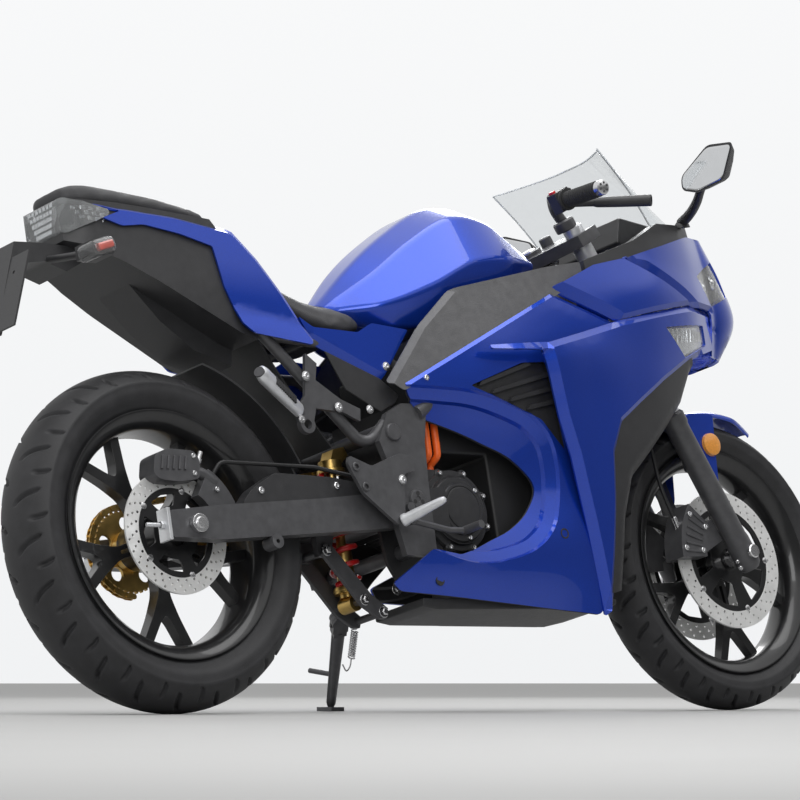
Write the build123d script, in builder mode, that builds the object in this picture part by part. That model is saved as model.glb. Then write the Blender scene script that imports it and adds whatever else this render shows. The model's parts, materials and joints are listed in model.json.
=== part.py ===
"""Electric sport motorcycle as it parks: leaning on its side stand, steering straight ahead.

Every piece is drawn in the frame of the upright machine, in millimetres: x runs forward from the
rear axle, y to the left, z up from the ground line.  The last step leans all of it on its stand.
"""
import os
from math import asin, cos, degrees, radians, sin

from build123d import *

os.makedirs("parts", exist_ok=True)

# Wheels
WHEELBASE = 1400
REAR_R = 312
FRONT_R = 293
REAR_W = 140
FRONT_W = 110
BEAD_R = 218
FLANGE_R = 229
AXLE_R = 10
RUN_FIT = 0.05
SEAT_GAP = 0.3

# Stance and steering
LEAN = 12.5
RAKE = 27
OFFSET = 40
FORK_Y = 98
STEM_R = 25

# Body
SKIN = 4
ARM_IN = 98
ARM_OUT = 126
PLATE = 14
PIVOT = (490, 352)
MOTOR = (640, 360)
MOTOR_R = 80
SPROCKET_R = 83
DRIVE_R = 29
CHAIN_Y = 80
CHAIN_W = 14
CHAIN_H = 12
TRAY_TOP = 186
PACK_HALF = 104

# Side stand
STAND_TOP = Vector(511, 120, 201)
STAND_FOLDED = Vector(-0.985, 0.12, 0.12)

STEER = Plane(
    origin=(WHEELBASE, 0, FRONT_R),
    x_dir=(cos(radians(RAKE)), 0, sin(radians(RAKE))),
    z_dir=(-sin(radians(RAKE)), 0, cos(radians(RAKE))),
)
# The leaning rear tyre sinks this far below its upright ground line; the stand's foot lies on the floor.
LIFT = 1.6
SOLE = 5
FOOT_X = 614
FOOT_Y = 300
FOOT_Z = (FOOT_Y * sin(radians(LEAN)) + SOLE - LIFT) / cos(radians(LEAN))
STAND_FOOT = Vector(FOOT_X, FOOT_Y, FOOT_Z)
MIDDLE_X = 686
MIDDLE_Y = 218.5
PARKED = Location((-MIDDLE_X, -MIDDLE_Y, LIFT)) * Location((0, 0, 0), (-LEAN, 0, 0))


def prism(outline, near, far, radius=0):
    """Side outline (x, z) pushed out to the right, from one distance off the middle to another."""
    with BuildPart() as body:
        with BuildSketch(Plane.XZ.offset(near)):
            with BuildLine():
                if radius:
                    FilletPolyline(*outline, radius=radius, close=True)
                else:
                    Polyline(*outline, close=True)
            make_face()
        extrude(amount=far - near)
    return body.part


def plan_prism(outline, low, high):
    """Plan outline (x, y) pushed up from one height to another."""
    with BuildPart() as body:
        with BuildSketch(Plane.XY.offset(low)):
            with BuildLine():
                Polyline(*outline, close=True)
            make_face()
        extrude(amount=high - low)
    return body.part


def disc(centre, radius, near, far):
    """Cylinder across the machine at a side-view centre (x, z)."""
    with BuildPart() as body:
        with BuildSketch(Plane.XZ.offset(near)):
            with Locations(centre):
                Circle(radius)
        extrude(amount=far - near)
    return body.part


def sector(centre, inner, outer, start, sweep, near, far):
    """Piece of a ring across the machine, from one angle (degrees, from forward up) on."""
    with BuildPart() as body:
        with BuildSketch(Plane.XZ.offset(near)):
            with BuildLine():
                low = CenterArc(centre, inner, start, sweep)
                high = CenterArc(centre, outer, start, sweep)
                Line(low @ 0, high @ 0)
                Line(low @ 1, high @ 1)
            make_face()
        extrude(amount=far - near)
    return body.part


def rod(start, end, radius, end_radius=None):
    """Straight round bar between two points."""
    axis = Vector(end) - Vector(start)
    with BuildPart() as body:
        with BuildSketch(Plane(origin=start, z_dir=axis)):
            Circle(radius)
        if end_radius:
            with BuildSketch(Plane(origin=end, z_dir=axis)):
                Circle(end_radius)
            loft()
        else:
            extrude(amount=axis.length)
    return body.part


def tube(points, radius, bend):
    """Round bar along a bent path."""
    with BuildPart() as body:
        with BuildLine() as path:
            FilletPolyline(*points, radius=bend)
        with BuildSketch(Plane(origin=path.wire() @ 0, z_dir=path.wire() % 0)):
            Circle(radius)
        sweep()
    return body.part


def turned(profile, centre):
    """Ring turned about a wheel axis from a half section of (radius, offset to the left)."""
    with BuildPart() as body:
        with BuildSketch(Plane.XY):
            with BuildLine():
                Polyline(*profile, close=True)
            make_face()
        revolve(axis=Axis.Y)
    return Pos(centre[0], 0, centre[1]) * body.part


def envelope(rows, levels, inset):
    """Right half of a body from half widths at fixed heights, one row of widths per station x."""
    with BuildPart() as body:
        for x, widths in rows:
            side = [(-(w - inset), z) for w, z in zip(widths, levels)]
            with BuildSketch(Plane.YZ.offset(x)):
                with BuildLine():
                    Polyline((0, levels[0]), *side, (0, levels[-1]), close=True)
                make_face()
        loft(ruled=True)
    return body.part


def skin(rows, levels, outline, inset=0, thick=SKIN, holes=()):
    """Thin panel: the wall of an envelope inside a side outline, less some holes."""
    outer = envelope(rows, levels, inset)
    inner = envelope(rows, levels, inset + thick)
    window = prism(outline, 30, 400)
    cuts = [prism(hole, 5, 400) for hole in holes]
    with BuildPart() as body:
        add(outer)
        add(inner, mode=Mode.SUBTRACT)
        add(window, mode=Mode.INTERSECT)
        for cut in cuts:
            add(cut, mode=Mode.SUBTRACT)
    return body.part


def pair(shape):
    """A right-hand piece with its left-hand twin."""
    with BuildPart() as both:
        add(shape)
        add(mirror(shape, about=Plane.XZ))
    return both.part


def joined(shapes, cuts=()):
    """One body from several that touch, less some others."""
    with BuildPart() as body:
        add(shapes)
        for cut in cuts:
            add(cut, mode=Mode.SUBTRACT)
    return body.part


def store(name, shape):
    """Lean the piece with the whole machine and write it."""
    placed = PARKED * shape
    placed.label = name
    export_step(placed, f"parts/{name}.step")


def forked(shape):
    """Piece drawn in the fork's frame: forward, left, up along the legs from the front axle."""
    return STEER.location * shape


# Wheels
def tyre_profile(radius, width, bead):
    """Half section of a tyre: bead, bulging wall, round crown in six flats."""
    half = width / 2 - 0.5
    wall = BEAD_R + 0.62 * (radius - BEAD_R)
    rise = radius - wall
    crown = (half * half + rise * rise) / (2 * rise)
    reach = degrees(asin(half / crown))
    angles = [-reach + reach * i / 3 for i in range(7)]
    top = [(radius - crown + crown * cos(radians(a)), crown * sin(radians(a))) for a in angles]
    low = BEAD_R + SEAT_GAP
    mid = (FLANGE_R + wall) / 2
    right = [(low, -bead), (FLANGE_R + 1, -bead), (mid, -half + 3)]
    left = [(mid, half - 3), (FLANGE_R + 1, bead), (low, bead)]
    return right + top + left


def rim(centre, bead, hub_r, hub_half, spoke_half, turn):
    """Cast wheel with five forked spokes."""
    barrel = turned(
        [(FLANGE_R, bead + 7), (FLANGE_R, bead + 1), (BEAD_R, bead), (BEAD_R, -bead),
         (FLANGE_R, -bead - 1), (FLANGE_R, -bead - 7), (204, -bead + 4), (204, bead - 4)],
        (0, 0),
    )
    hub = turned([(AXLE_R + RUN_FIT, -hub_half), (hub_r, -hub_half), (hub_r, hub_half),
                  (AXLE_R + RUN_FIT, hub_half)], (0, 0))
    spoke = prism(
        [(30, -15), (105, -13), (196, -58), (208, -36), (138, 0), (208, 36), (196, 58), (105, 13),
         (30, 15)],
        -spoke_half, spoke_half,
    )
    spokes = [Rot(0, turn + 72 * i, 0) * spoke for i in range(5)]
    bore = disc((0, 0), AXLE_R + RUN_FIT, -200, 200)
    wheel = joined([barrel, hub] + spokes, [bore])
    return Pos(centre[0], 0, centre[1]) * wheel


def brake_disc(centre, radius, inner, mid_y, hub_r, arms):
    """Steel ring on a carrier whose arms reach in to the hub."""
    with BuildPart() as body:
        with BuildSketch(Plane.XZ.offset(mid_y - 2.25)):
            with Locations(centre):
                Circle(radius)
                Circle(inner, mode=Mode.SUBTRACT)
                Circle(hub_r + 16)
                Circle(hub_r, mode=Mode.SUBTRACT)
                with PolarLocations((hub_r + inner) / 2 + 6, arms):
                    Rectangle(inner - hub_r + 4, 16)
        extrude(amount=4.5)
    return body.part


REAR = (0, REAR_R)
FRONT = (WHEELBASE, FRONT_R)
REAR_BEAD = 50
FRONT_BEAD = 37
REAR_HUB = 60
FRONT_HUB = 50

store("rear_tyre", turned(tyre_profile(REAR_R, REAR_W, REAR_BEAD - SEAT_GAP), REAR))
store("front_tyre", turned(tyre_profile(FRONT_R, FRONT_W, FRONT_BEAD - SEAT_GAP), FRONT))
store("rear_rim", rim(REAR, REAR_BEAD, 42, REAR_HUB, 15, 20))
store("front_rim", rim(FRONT, FRONT_BEAD, 36, FRONT_HUB, 13, 8))

REAR_DISC_Y = REAR_HUB + SEAT_GAP + 2.25
FRONT_DISC_Y = FRONT_HUB + SEAT_GAP + 2.25
store("rear_disc", brake_disc(REAR, 112, 82, REAR_DISC_Y, 24, 5))
store("front_discs", pair(brake_disc(FRONT, 140, 106, FRONT_DISC_Y, 22, 5)))

SPROCKET_IN = SPROCKET_R - CHAIN_H / 2 - SEAT_GAP
with BuildPart() as rear_sprocket:
    with BuildSketch(Plane.XZ.offset(-CHAIN_Y - 4)):
        with Locations(REAR):
            Circle(SPROCKET_IN)
            Circle(24, mode=Mode.SUBTRACT)
            with PolarLocations(52, 5):
                Circle(13, mode=Mode.SUBTRACT)
    extrude(amount=8)
    with BuildSketch(Plane.XZ.offset(-CHAIN_Y + 4)):
        with Locations(REAR):
            Circle(38)
            Circle(24, mode=Mode.SUBTRACT)
    extrude(amount=CHAIN_Y - 4 - REAR_HUB - SEAT_GAP)
store("rear_sprocket", rear_sprocket.part)

# Axle with its spacers, end blocks and nuts
SPACER_R = 18
SPACER_IN = REAR_HUB + 8
axle_bar = disc(REAR, AXLE_R, -ARM_OUT - 16, ARM_OUT + 16)
axle_spacers = [disc(REAR, SPACER_R, near, near + ARM_IN - SPACER_IN - SEAT_GAP)
                for near in (SPACER_IN, -ARM_IN + SEAT_GAP)]
axle_nuts = [disc(REAR, 17, near, near + 12) for near in (ARM_OUT + SEAT_GAP, -ARM_OUT - SEAT_GAP - 12)]
store("rear_axle", joined([axle_bar] + axle_spacers + axle_nuts))

# Swingarm with its cross member, pivot tube, stand bosses and link lugs
ARM = [(-58, 288), (-58, 336), (60, 349), (300, 368), (470, 386), (512, 376), (524, 352), (512, 326),
       (470, 318), (300, 304), (60, 286)]
BOSS = (175, 284)
LINK_REAR = (363, 293)
arm_cut = disc(REAR, AXLE_R + SEAT_GAP, -200, 200)
arms = pair(joined([prism(ARM, ARM_IN, ARM_OUT, 8), disc(BOSS, 13, ARM_IN + 4, ARM_OUT + 6)]))
cross = prism([(346, 322), (346, 372), (400, 376), (400, 322)], -ARM_IN - 1, ARM_IN + 1)
pivot_tube = disc(PIVOT, 24, -ARM_IN - 1, ARM_IN + 1)
lugs = [prism([(348, 325), (392, 325), (378, 284), (350, 284)], near, near + 14) for near in (20, -34)]
boss_holes = [disc(BOSS, 4, 104, 140), disc(BOSS, 4, -140, -104), disc(LINK_REAR, 7 + SEAT_GAP, -60, 60)]
pivot_cut = disc(PIVOT, 9 + SEAT_GAP, -200, 200)
store("swingarm", joined([arms, cross, pivot_tube] + lugs, [arm_cut, pivot_cut] + boss_holes))

# Frame: head tube, twin spars, pivot plates, cross tubes, seat rails and the stand lug
PLATE_IN = ARM_OUT + SEAT_GAP
PLATE_OUT = PLATE_IN + PLATE
HEAD_LOW = 510
HEAD_HIGH = 690
PLATE_SIDE = [(442, 478), (470, 532), (508, 552), (545, 553), (566, 532), (554, 480), (548, 405),
              (544, 262), (470, 262), (456, 330), (462, 420)]
UPPER_CROSS = (478, 505)
LOWER_CROSS = (512, 282)
SPAR = [(1070, -22, 822), (975, -78, 770), (800, -119, 690), (545, -134, 535)]
RAIL = [(470, -130, 515), (430, -112, 470), (215, -108, 688), (120, -74, 790), (-20, -66, 846)]

head = forked(Pos(-OFFSET, 0, HEAD_LOW) * Cylinder(
    36, HEAD_HIGH - HEAD_LOW, align=(Align.CENTER, Align.CENTER, Align.MIN)))
head_bore = forked(Pos(-OFFSET, 0, HEAD_LOW - 50) * Cylinder(
    STEM_R + RUN_FIT, 400, align=(Align.CENTER, Align.CENTER, Align.MIN)))
plates = pair(prism(PLATE_SIDE, PLATE_IN, PLATE_OUT))
spars = pair(tube(SPAR, 16, 60))
rails = pair(tube(RAIL, 11, 30))
crosses = [disc(centre, 14, -PLATE_IN - 2, PLATE_IN + 2) for centre in (UPPER_CROSS, LOWER_CROSS)]
pivot_bolt = disc(PIVOT, 9, -PLATE_OUT - 8, PLATE_OUT + 8)

# Stand hinge: the axis is square to both the parked and the folded direction of the leg
stand_out = (STAND_FOOT - STAND_TOP).normalized()
STAND_AXIS = stand_out.cross(STAND_FOLDED).normalized()
HINGE = Plane(origin=STAND_TOP, x_dir=stand_out, z_dir=STAND_AXIS)
PIN_R = 6


def hinged(radius, low, high):
    """Round plate on the stand's axis."""
    return HINGE.location * (Pos(0, 0, low) * Cylinder(
        radius, high - low, align=(Align.CENTER, Align.CENTER, Align.MIN)))


NECK_TURN = 200
NECK = 46
neck_web = HINGE.location * Rot(0, 0, NECK_TURN) * Pos(NECK / 2, 0, 0) * Box(NECK, 22, 10)
neck_start = (HINGE.location * Rot(0, 0, NECK_TURN) * Pos(NECK - 8, 0, 0)).position
neck = rod(neck_start, (LOWER_CROSS[0], 62, LOWER_CROSS[1]), 9)
stand_lug = joined([hinged(17, -5, 5), neck_web, neck], [hinged(PIN_R + RUN_FIT, -30, 30)])
UPPER_RAIL = [(612, -128, 578), (550, -112, 620), (480, -112, 664), (330, -115.7, 667), (240, -110, 676),
              (205, -106, 697)]
upper_rails = pair(tube(UPPER_RAIL, 10, 30))
SEAT_CROSS = (352, 681)
crosses.append(disc(SEAT_CROSS, 9, -110, 110))
pack_stays = [rod((UPPER_CROSS[0], y, UPPER_CROSS[1]), (575 - SEAT_GAP, y, UPPER_CROSS[1]), 10)
              for y in (-60, 60)]
frame_pieces = [head, plates, spars, rails, upper_rails, pivot_bolt, stand_lug] + crosses + pack_stays

# Side stand: fork end on the lug, bent leg and a flat foot that lies on the floor
FLOOR_UP = Vector(0, -sin(radians(LEAN)), cos(radians(LEAN)))
leg_top = STAND_TOP + stand_out * 27
foot_plane = Plane(origin=STAND_FOOT - FLOOR_UP * SOLE, x_dir=(1, 0, 0), z_dir=FLOOR_UP)
cheeks = [hinged(17, 5.5, 11.5), hinged(17, -11.5, -5.5)]
bridge = HINGE.location * Pos(27, 0, 0) * Box(16, 26, 23)
arms_of_fork = [HINGE.location * Pos(13, 0, h) * Box(22, 30, 6) for h in (8.5, -8.5)]
leg = rod(leg_top, STAND_FOOT + FLOOR_UP * 6, 13, 9)
foot = foot_plane.location * Box(58, 44, 8, align=(Align.CENTER, Align.CENTER, Align.MIN))
tang = rod(STAND_TOP + stand_out * 150, STAND_TOP + stand_out * 150 + Vector(-6, 62, 22), 5)
under_floor = foot_plane.location * Pos(0, 0, -60) * Box(
    200, 200, 60, align=(Align.CENTER, Align.CENTER, Align.MIN))
stand_pieces = cheeks + arms_of_fork + [bridge, leg, foot, tang, hinged(PIN_R, -11.5, 11.5)]
store("side_stand", joined(stand_pieces, [under_floor]))

# Rear damper, its spring and the rocker below it
SHOCK_X = 437
SHOCK_LOW = (SHOCK_X, 201)
ROCKER = [(352, 286), (360, 306), (376, 304), (456, 212), (492, 186), (484, 166), (468, 166), (430, 190)]
damper = [rod((SHOCK_X, 0, 214), (SHOCK_X, 0, 300), 17), rod((SHOCK_X, 0, 300), (SHOCK_X, 0, 462), 9),
          rod((SHOCK_X, 0, 452), (SHOCK_X, 0, 474), 22), rod((SHOCK_X, 0, 222), (SHOCK_X, 0, 234), 26),
          disc(SHOCK_LOW, 15, -18, 18),
          prism([(424, 468), (452, 468), (470, 484), (462, 500), (436, 494)], -16, 16)]
store("rear_damper", joined(damper, [disc(UPPER_CROSS, 14 + SEAT_GAP, -200, 200),
                                     disc(SHOCK_LOW, 7 + SEAT_GAP, -30, 30)]))
with BuildPart() as spring:
    with BuildSketch(Plane.XY.offset(234 + SEAT_GAP)):
        with Locations((SHOCK_X, 0)):
            Circle(26)
            Circle(19, mode=Mode.SUBTRACT)
    extrude(amount=452 - 234 - 2 * SEAT_GAP)
store("rear_spring", spring.part)
rockers = pair(prism(ROCKER, 34 + SEAT_GAP, 42))
rocker_bolts = [disc(SHOCK_LOW, 7, -48, 48), disc((479, 178), 7, -48, 48), disc(LINK_REAR, 7, -48, 48)]
store("shock_rocker", joined([rockers] + rocker_bolts))

# Motor with its round cover, drive sprocket and rear ears; battery block ahead of and above it
cover_steps = [disc(MOTOR, r, near, near + 8) for r, near in ((75, 96), (66, 103), (44, 110), (20, 117))]
ear = prism([(549, 330), (600, 320), (600, 400), (549, 392)], -PLATE_IN + SEAT_GAP, PLATE_IN - SEAT_GAP)
TERMINAL_Z = 438
terminals = prism([(570, 390), (570, TERMINAL_Z), (616, TERMINAL_Z), (616, 390)], 60, 102)
motor_body = [disc(MOTOR, MOTOR_R, -52, 96), ear, terminals]
chain_room = prism([(500, 290), (500, 420), (700, 420), (700, 290)], -PLATE_IN, -60)
sprocket = disc(MOTOR, DRIVE_R - CHAIN_H / 2 - SEAT_GAP, -CHAIN_Y - 4, -CHAIN_Y + 4)
shaft = disc(MOTOR, 12, -CHAIN_Y - 12, -50)
trimmed = joined(motor_body + cover_steps, [chain_room])
store("motor", joined([trimmed, shaft, sprocket]))

PACK_LOW = TRAY_TOP + SEAT_GAP
PACK = [(735, PACK_LOW), (1000, PACK_LOW), (1000, 560), (955, 655), (575, 655), (575, 470), (735, 470)]
store("battery_pack", prism(PACK, -PACK_HALF, PACK_HALF))


def belt(grow):
    """Loop round both sprockets, grown outward from the pitch line."""
    with BuildPart() as body:
        with BuildSketch(Plane.XZ.offset(-CHAIN_Y - CHAIN_W / 2)):
            with Locations(REAR):
                Circle(SPROCKET_R + grow)
            with Locations(MOTOR):
                Circle(DRIVE_R + grow)
            make_hull()
        extrude(amount=CHAIN_W)
    return body.part


store("drive_chain", joined([belt(CHAIN_H / 2)], [belt(-CHAIN_H / 2)]))

# Fairing envelopes: half widths at fixed heights for each station x
MID_Z = (140, 270, 400, 500, 585, 650, 730, 860)
MID = [
    (420, (112, 148, 150, 150, 152, 154, 156, 156)),
    (560, (126, 164, 164, 162, 168, 170, 170, 168)),
    (700, (134, 168, 162, 168, 183, 184, 180, 175)),
    (820, (138, 170, 168, 178, 190, 192, 190, 184)),
    (940, (144, 168, 176, 184, 193, 196, 196, 188)),
    (1070, (130, 160, 174, 184, 193, 198, 198, 190)),
]
WING_Z = (140, 300, 450, 560, 650, 740, 830)
WING = [
    (680, (150, 178, 196, 207, 214, 206, 196)),
    (815, (152, 184, 210, 226, 235, 215, 200)),
    (940, (162, 190, 208, 218, 226, 214, 203)),
    (1050, (160, 186, 201, 207, 212, 210, 202)),
    (1175, (130, 160, 178, 185, 190, 195, 192)),
    (1295, (90, 115, 132, 142, 150, 160, 165)),
    (1410, (30, 50, 70, 82, 90, 98, 104)),
]
# Nose: plan half widths at fixed stations, one row per height, and where the tip lies
NOSE_X = (880, 1060, 1200, 1330, 1430)
NOSE = [
    (690, (200, 207, 186, 136, 76), 1462),
    (794, (196, 205, 192, 150, 98), 1543),
    (870, (190, 194, 180, 140, 92), 1522),
    (985, (184, 184, 168, 126, 72), 1462),
]
MID_SIDE = [(508, 587), (700, 683), (888, 776), (1040, 724), (1000, 640), (960, 400), (946, 170),
            (930, 154), (673, 176), (448, 196), (432, 210), (522, 272), (589, 262), (633, 273),
            (679, 290), (741, 310), (781, 340), (793, 389), (769, 447), (683, 487), (629, 504),
            (558, 526), (521, 563)]
VENT = [(655, 583), (785, 631), (845, 635), (865, 541), (877, 463), (822, 523), (763, 546)]
WING_SIDE = [(692, 656), (692, 648), (816, 644), (845, 520), (870, 450), (900, 325), (931, 190),
             (940, 150), (952, 160), (978, 367), (985, 460), (1015, 519), (1086, 564), (1166, 612),
             (1277, 669), (1330, 690), (1409.6, 716), (1409.6, 796.6), (1293, 784.6), (1175, 757.6),
             (1046, 726.6), (930, 692), (830, 664)]
LENS = [(1176, 726), (1366, 762), (1374, 712), (1251, 662)]
LENS_HOLE = [(1186, 724), (1358, 755), (1366, 717), (1253, 670)]
STAND_ROOM = [(400, 130), (1010, 130), (1000, 228), (640, 245), (612, 330), (400, 330)]
INNER_SIDE = [(962, 190), (990, 200), (1010, 339), (1040, 420), (1123, 488), (1243, 587), (1285, 640),
              (1270, 655), (1150, 590), (1005, 500), (975, 420)]
KNEE_SIDE = [(478, 590), (508, 572), (700, 669), (885, 762), (985, 812), (985, 846), (895, 830),
             (804, 809), (653, 775), (566, 700)]

mid_right = skin(MID, MID_Z, MID_SIDE, holes=[VENT])
store("mid_fairing_right", mid_right)
stand_room = prism(STAND_ROOM, 0, 400)
store("mid_fairing_left", mirror(joined([mid_right], [stand_room]), about=Plane.XZ))
wing_right = skin(WING, WING_Z, WING_SIDE, holes=[LENS_HOLE])
store("side_wing_right", wing_right)
store("side_wing_left", mirror(joined([wing_right], [stand_room]), about=Plane.XZ))
store("front_signals", pair(skin(WING, WING_Z, LENS, inset=SKIN + SEAT_GAP, thick=10)))
store("knee_panels", pair(skin(MID, MID_Z, KNEE_SIDE, inset=SKIN + SEAT_GAP)))

SLATS = [(680, 560), (722, 546), (764, 530), (806, 512)]
VENT_BACK = [(645, 578), (785, 641), (853, 645), (876, 541), (888, 460), (822, 512), (763, 534)]
VENT_ROOM = [(676, 588), (783, 627), (840, 630), (858, 545), (867, 492), (826, 531), (768, 553)]
slat_room = skin(MID, MID_Z, VENT_ROOM, inset=1, thick=SKIN + 5)
vent_plate = skin(MID, MID_Z, VENT_BACK, inset=SKIN + SEAT_GAP)
slat_bars = joined([prism([(x, z), (x + 8, z), (x + 48, z + 90), (x + 40, z + 90)], 100, 240)
                    for x, z in SLATS])
with BuildPart() as slats:
    add(slat_room)
    add(slat_bars, mode=Mode.INTERSECT)
store("vent_grilles", pair(joined([vent_plate, slats.part])))
store("inner_panels", pair(skin(WING, WING_Z, INNER_SIDE, inset=SKIN + SEAT_GAP)))


def nose_body(inset):
    """Prow shape from plan sections, grown inward by an inset."""
    with BuildPart() as body:
        for z, widths, tip in NOSE:
            end = (tip - inset * 1.6, max(14 - inset, 1))
            half = [(x, w - inset) for x, w in zip(NOSE_X, widths)] + [end]
            other = [(x, -w) for x, w in reversed(half)]
            with BuildSketch(Plane.XY.offset(z)):
                with BuildLine():
                    Polyline(*half, *other, close=True)
                make_face()
        loft(ruled=True)
    return body.part


NOSE_SIDE = [(893, 786), (905, 780), (1046, 727), (1175, 758), (1293, 785), (1410, 797), (1410, 705),
             (1560, 705), (1560, 962), (1470, 962), (1420, 957), (1369, 947), (1236, 902), (1111, 862),
             (1006, 837)]
LAMP_HOLE = [(1372, 862), (1478, 920), (1534, 842), (1420, 806)]
LAMP = [(1360, 863), (1479, 929), (1541, 842), (1417, 799)]
nose_outer = nose_body(0)
nose_inner = nose_body(SKIN)
nose_cut = prism(NOSE_SIDE, -400, 400)
lamp_cut = prism(LAMP_HOLE, -400, 400)
with BuildPart() as nose_cowl:
    add(nose_outer)
    add(nose_inner, mode=Mode.SUBTRACT)
    add(nose_cut, mode=Mode.INTERSECT)
    add(lamp_cut, mode=Mode.SUBTRACT)
store("nose_cowl", nose_cowl.part)

lamp_window = prism(LAMP, -400, 400)
lamp_back = nose_body(13)
with BuildPart() as headlamps:
    add(nose_body(SKIN + SEAT_GAP))
    add(lamp_back, mode=Mode.SUBTRACT)
    add(lamp_window, mode=Mode.INTERSECT)
store("headlamps", headlamps.part)

TRIM_SIDE = [(990, 828), (1111, 852), (1236, 890), (1369, 935), (1400, 946), (1400, 978), (1345, 968),
             (1250, 955), (1150, 905), (1047, 868), (990, 848)]
trim_window = prism(TRIM_SIDE, -400, 400)
trim_hollow = nose_body(34)

# Belly tray between the lower edges of the fairing; its left part is short, to clear the side stand
TRAY = [(506, TRAY_TOP), (506, 168), (540, 160), (930, 160), (1045, 178), (1045, TRAY_TOP)]
TRAY_LEFT = 60
tray_slab = prism(TRAY, 0, 400)
tray_side = envelope(MID, MID_Z, SKIN + SEAT_GAP)
tray_rooms = [plan_prism([(400, 0), (1100, 0), (1100, -reach), (400, -reach)], 100, 300)
              for reach in (400, TRAY_LEFT)]
tray_halves = []
for tray_room in tray_rooms:
    with BuildPart() as tray_half:
        add(tray_side)
        add(tray_slab, mode=Mode.INTERSECT)
        add(tray_room, mode=Mode.INTERSECT)
    tray_halves.append(tray_half.part)
store("belly_tray", joined([tray_halves[0], mirror(tray_halves[1], about=Plane.XZ)]))

# Windscreen between a low outline on the nose and a high one: straight flanks, round front
SCREEN = [
    # x, z, tilt, half width, flank length, half width at its front, reach
    (1236, 951, 7, 146, 140, 84, 200),
    (1112, 1097, 10, 156, 34, 112, 66),
]
with BuildPart() as windscreen:
    for x, z, tilt, half, flank, front, reach in SCREEN:
        with BuildSketch(Plane(origin=(x, 0, z), x_dir=(cos(radians(tilt)), 0, sin(radians(tilt))),
                               z_dir=(-sin(radians(tilt)), 0, cos(radians(tilt))))):
            with BuildLine():
                Line((0, -half), (flank, -front))
                ThreePointArc((flank, -front), (reach, 0), (flank, front))
                Line((flank, front), (0, half))
                Line((0, half), (0, half - 3.5))
                Line((0, half - 3.5), (flank - 2, front - 3))
                ThreePointArc((flank - 2, front - 3), (reach - 3, 0), (flank - 2, 3 - front))
                Line((flank - 2, 3 - front), (0, 3.5 - half))
                Line((0, 3.5 - half), (0, -half))
            make_face()
    loft(ruled=True)
store("windscreen", windscreen.part)
with BuildPart() as cockpit_trim:
    add(nose_body(SKIN + SEAT_GAP))
    add(trim_hollow, mode=Mode.SUBTRACT)
    add(trim_window, mode=Mode.INTERSECT)
    add(windscreen.part, mode=Mode.SUBTRACT)
store("cockpit_trim", cockpit_trim.part)

# Instrument panel behind the screen
dial = prism([(1196, 930), (1212, 985), (1300, 972), (1345, 925), (1230, 915)], -88, 88, 6)
store("instrument_panel", dial)

# Mirrors on stalks off the nose
mirror_stem = tube([(1362, -117, 979), (1340, -170, 984), (1292, -245, 1004)], 8, 20)
mirror_shell = Pos(1290, -300, 1026) * Box(46, 150, 78)
mirror_shell = fillet(mirror_shell.edges().group_by(Axis.X)[-1], 20)
mirror_foot = rod((1362, -112, 962), (1362, -114, 986), 13)
mirror_right = joined([mirror_stem, mirror_shell, mirror_foot], [cockpit_trim.part, windscreen.part])
store("mirrors", pair(mirror_right))
store("mirror_glass", pair(Pos(1290 - 23 - SEAT_GAP - 1.5, -300, 1026) * Box(3, 140, 68)))

# Tank cover: sections across the machine
TANK = [
    # x, bottom z, bottom half, side z, side half, shoulder z, shoulder half, top z, top half
    (445, 742, 40, 752, 52, 766, 40, 776, 18),
    (520, 712, 90, 752, 116, 812, 88, 850, 34),
    (620, 712, 124, 785, 148, 885, 108, 925, 40),
    (740, 742, 132, 840, 158, 944, 112, 984, 42),
    (850, 786, 130, 852, 152, 930, 105, 970, 40),
    (935, 838, 100, 856, 116, 880, 92, 898, 36),
]
with BuildPart() as tank_cover:
    for x, zb, wb, zs, ws, zh, wh, zt, wt in TANK:
        right = [(-wb, zb), (-ws, zs), (-wh, zh), (-wt, zt)]
        left = [(-y, z) for y, z in reversed(right)]
        with BuildSketch(Plane.YZ.offset(x)):
            with BuildLine():
                Polyline(*right, *left, close=True)
            make_face()
    loft()
store("tank_cover", tank_cover.part)

# Seats: side profile met with plan outline
RIDER = [(214, 800), (224, 824), (300, 774), (380, 748), (444, 741), (518, 711), (510, 696), (437, 686),
         (330, 690), (262, 735)]
RIDER_PLAN = [(200, 104), (300, 112), (420, 92), (530, 62)]
PILLION = [(-152, 932), (-146, 950), (-108, 958), (0, 944), (140, 916), (150, 904), (138, 884),
           (-128, 914)]
PILLION_PLAN = [(-156, 24), (-140, 48), (-105, 70), (60, 96), (160, 98)]


def both_edges(half):
    """Plan outline from its left half."""
    return half + [(x, -y) for x, y in reversed(half)]


def padded(profile, plan):
    """Cushion with a side profile and a plan outline."""
    side = prism(profile, -200, 200, 7)
    top = plan_prism(both_edges(plan), 500, 1200)
    with BuildPart() as body:
        add(side)
        add(top, mode=Mode.INTERSECT)
    return body.part


rider_seat = joined([padded(RIDER, RIDER_PLAN)], [tank_cover.part])
store("rider_seat", rider_seat)
pillion = padded(PILLION, PILLION_PLAN)
store("pillion_seat", pillion)

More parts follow.
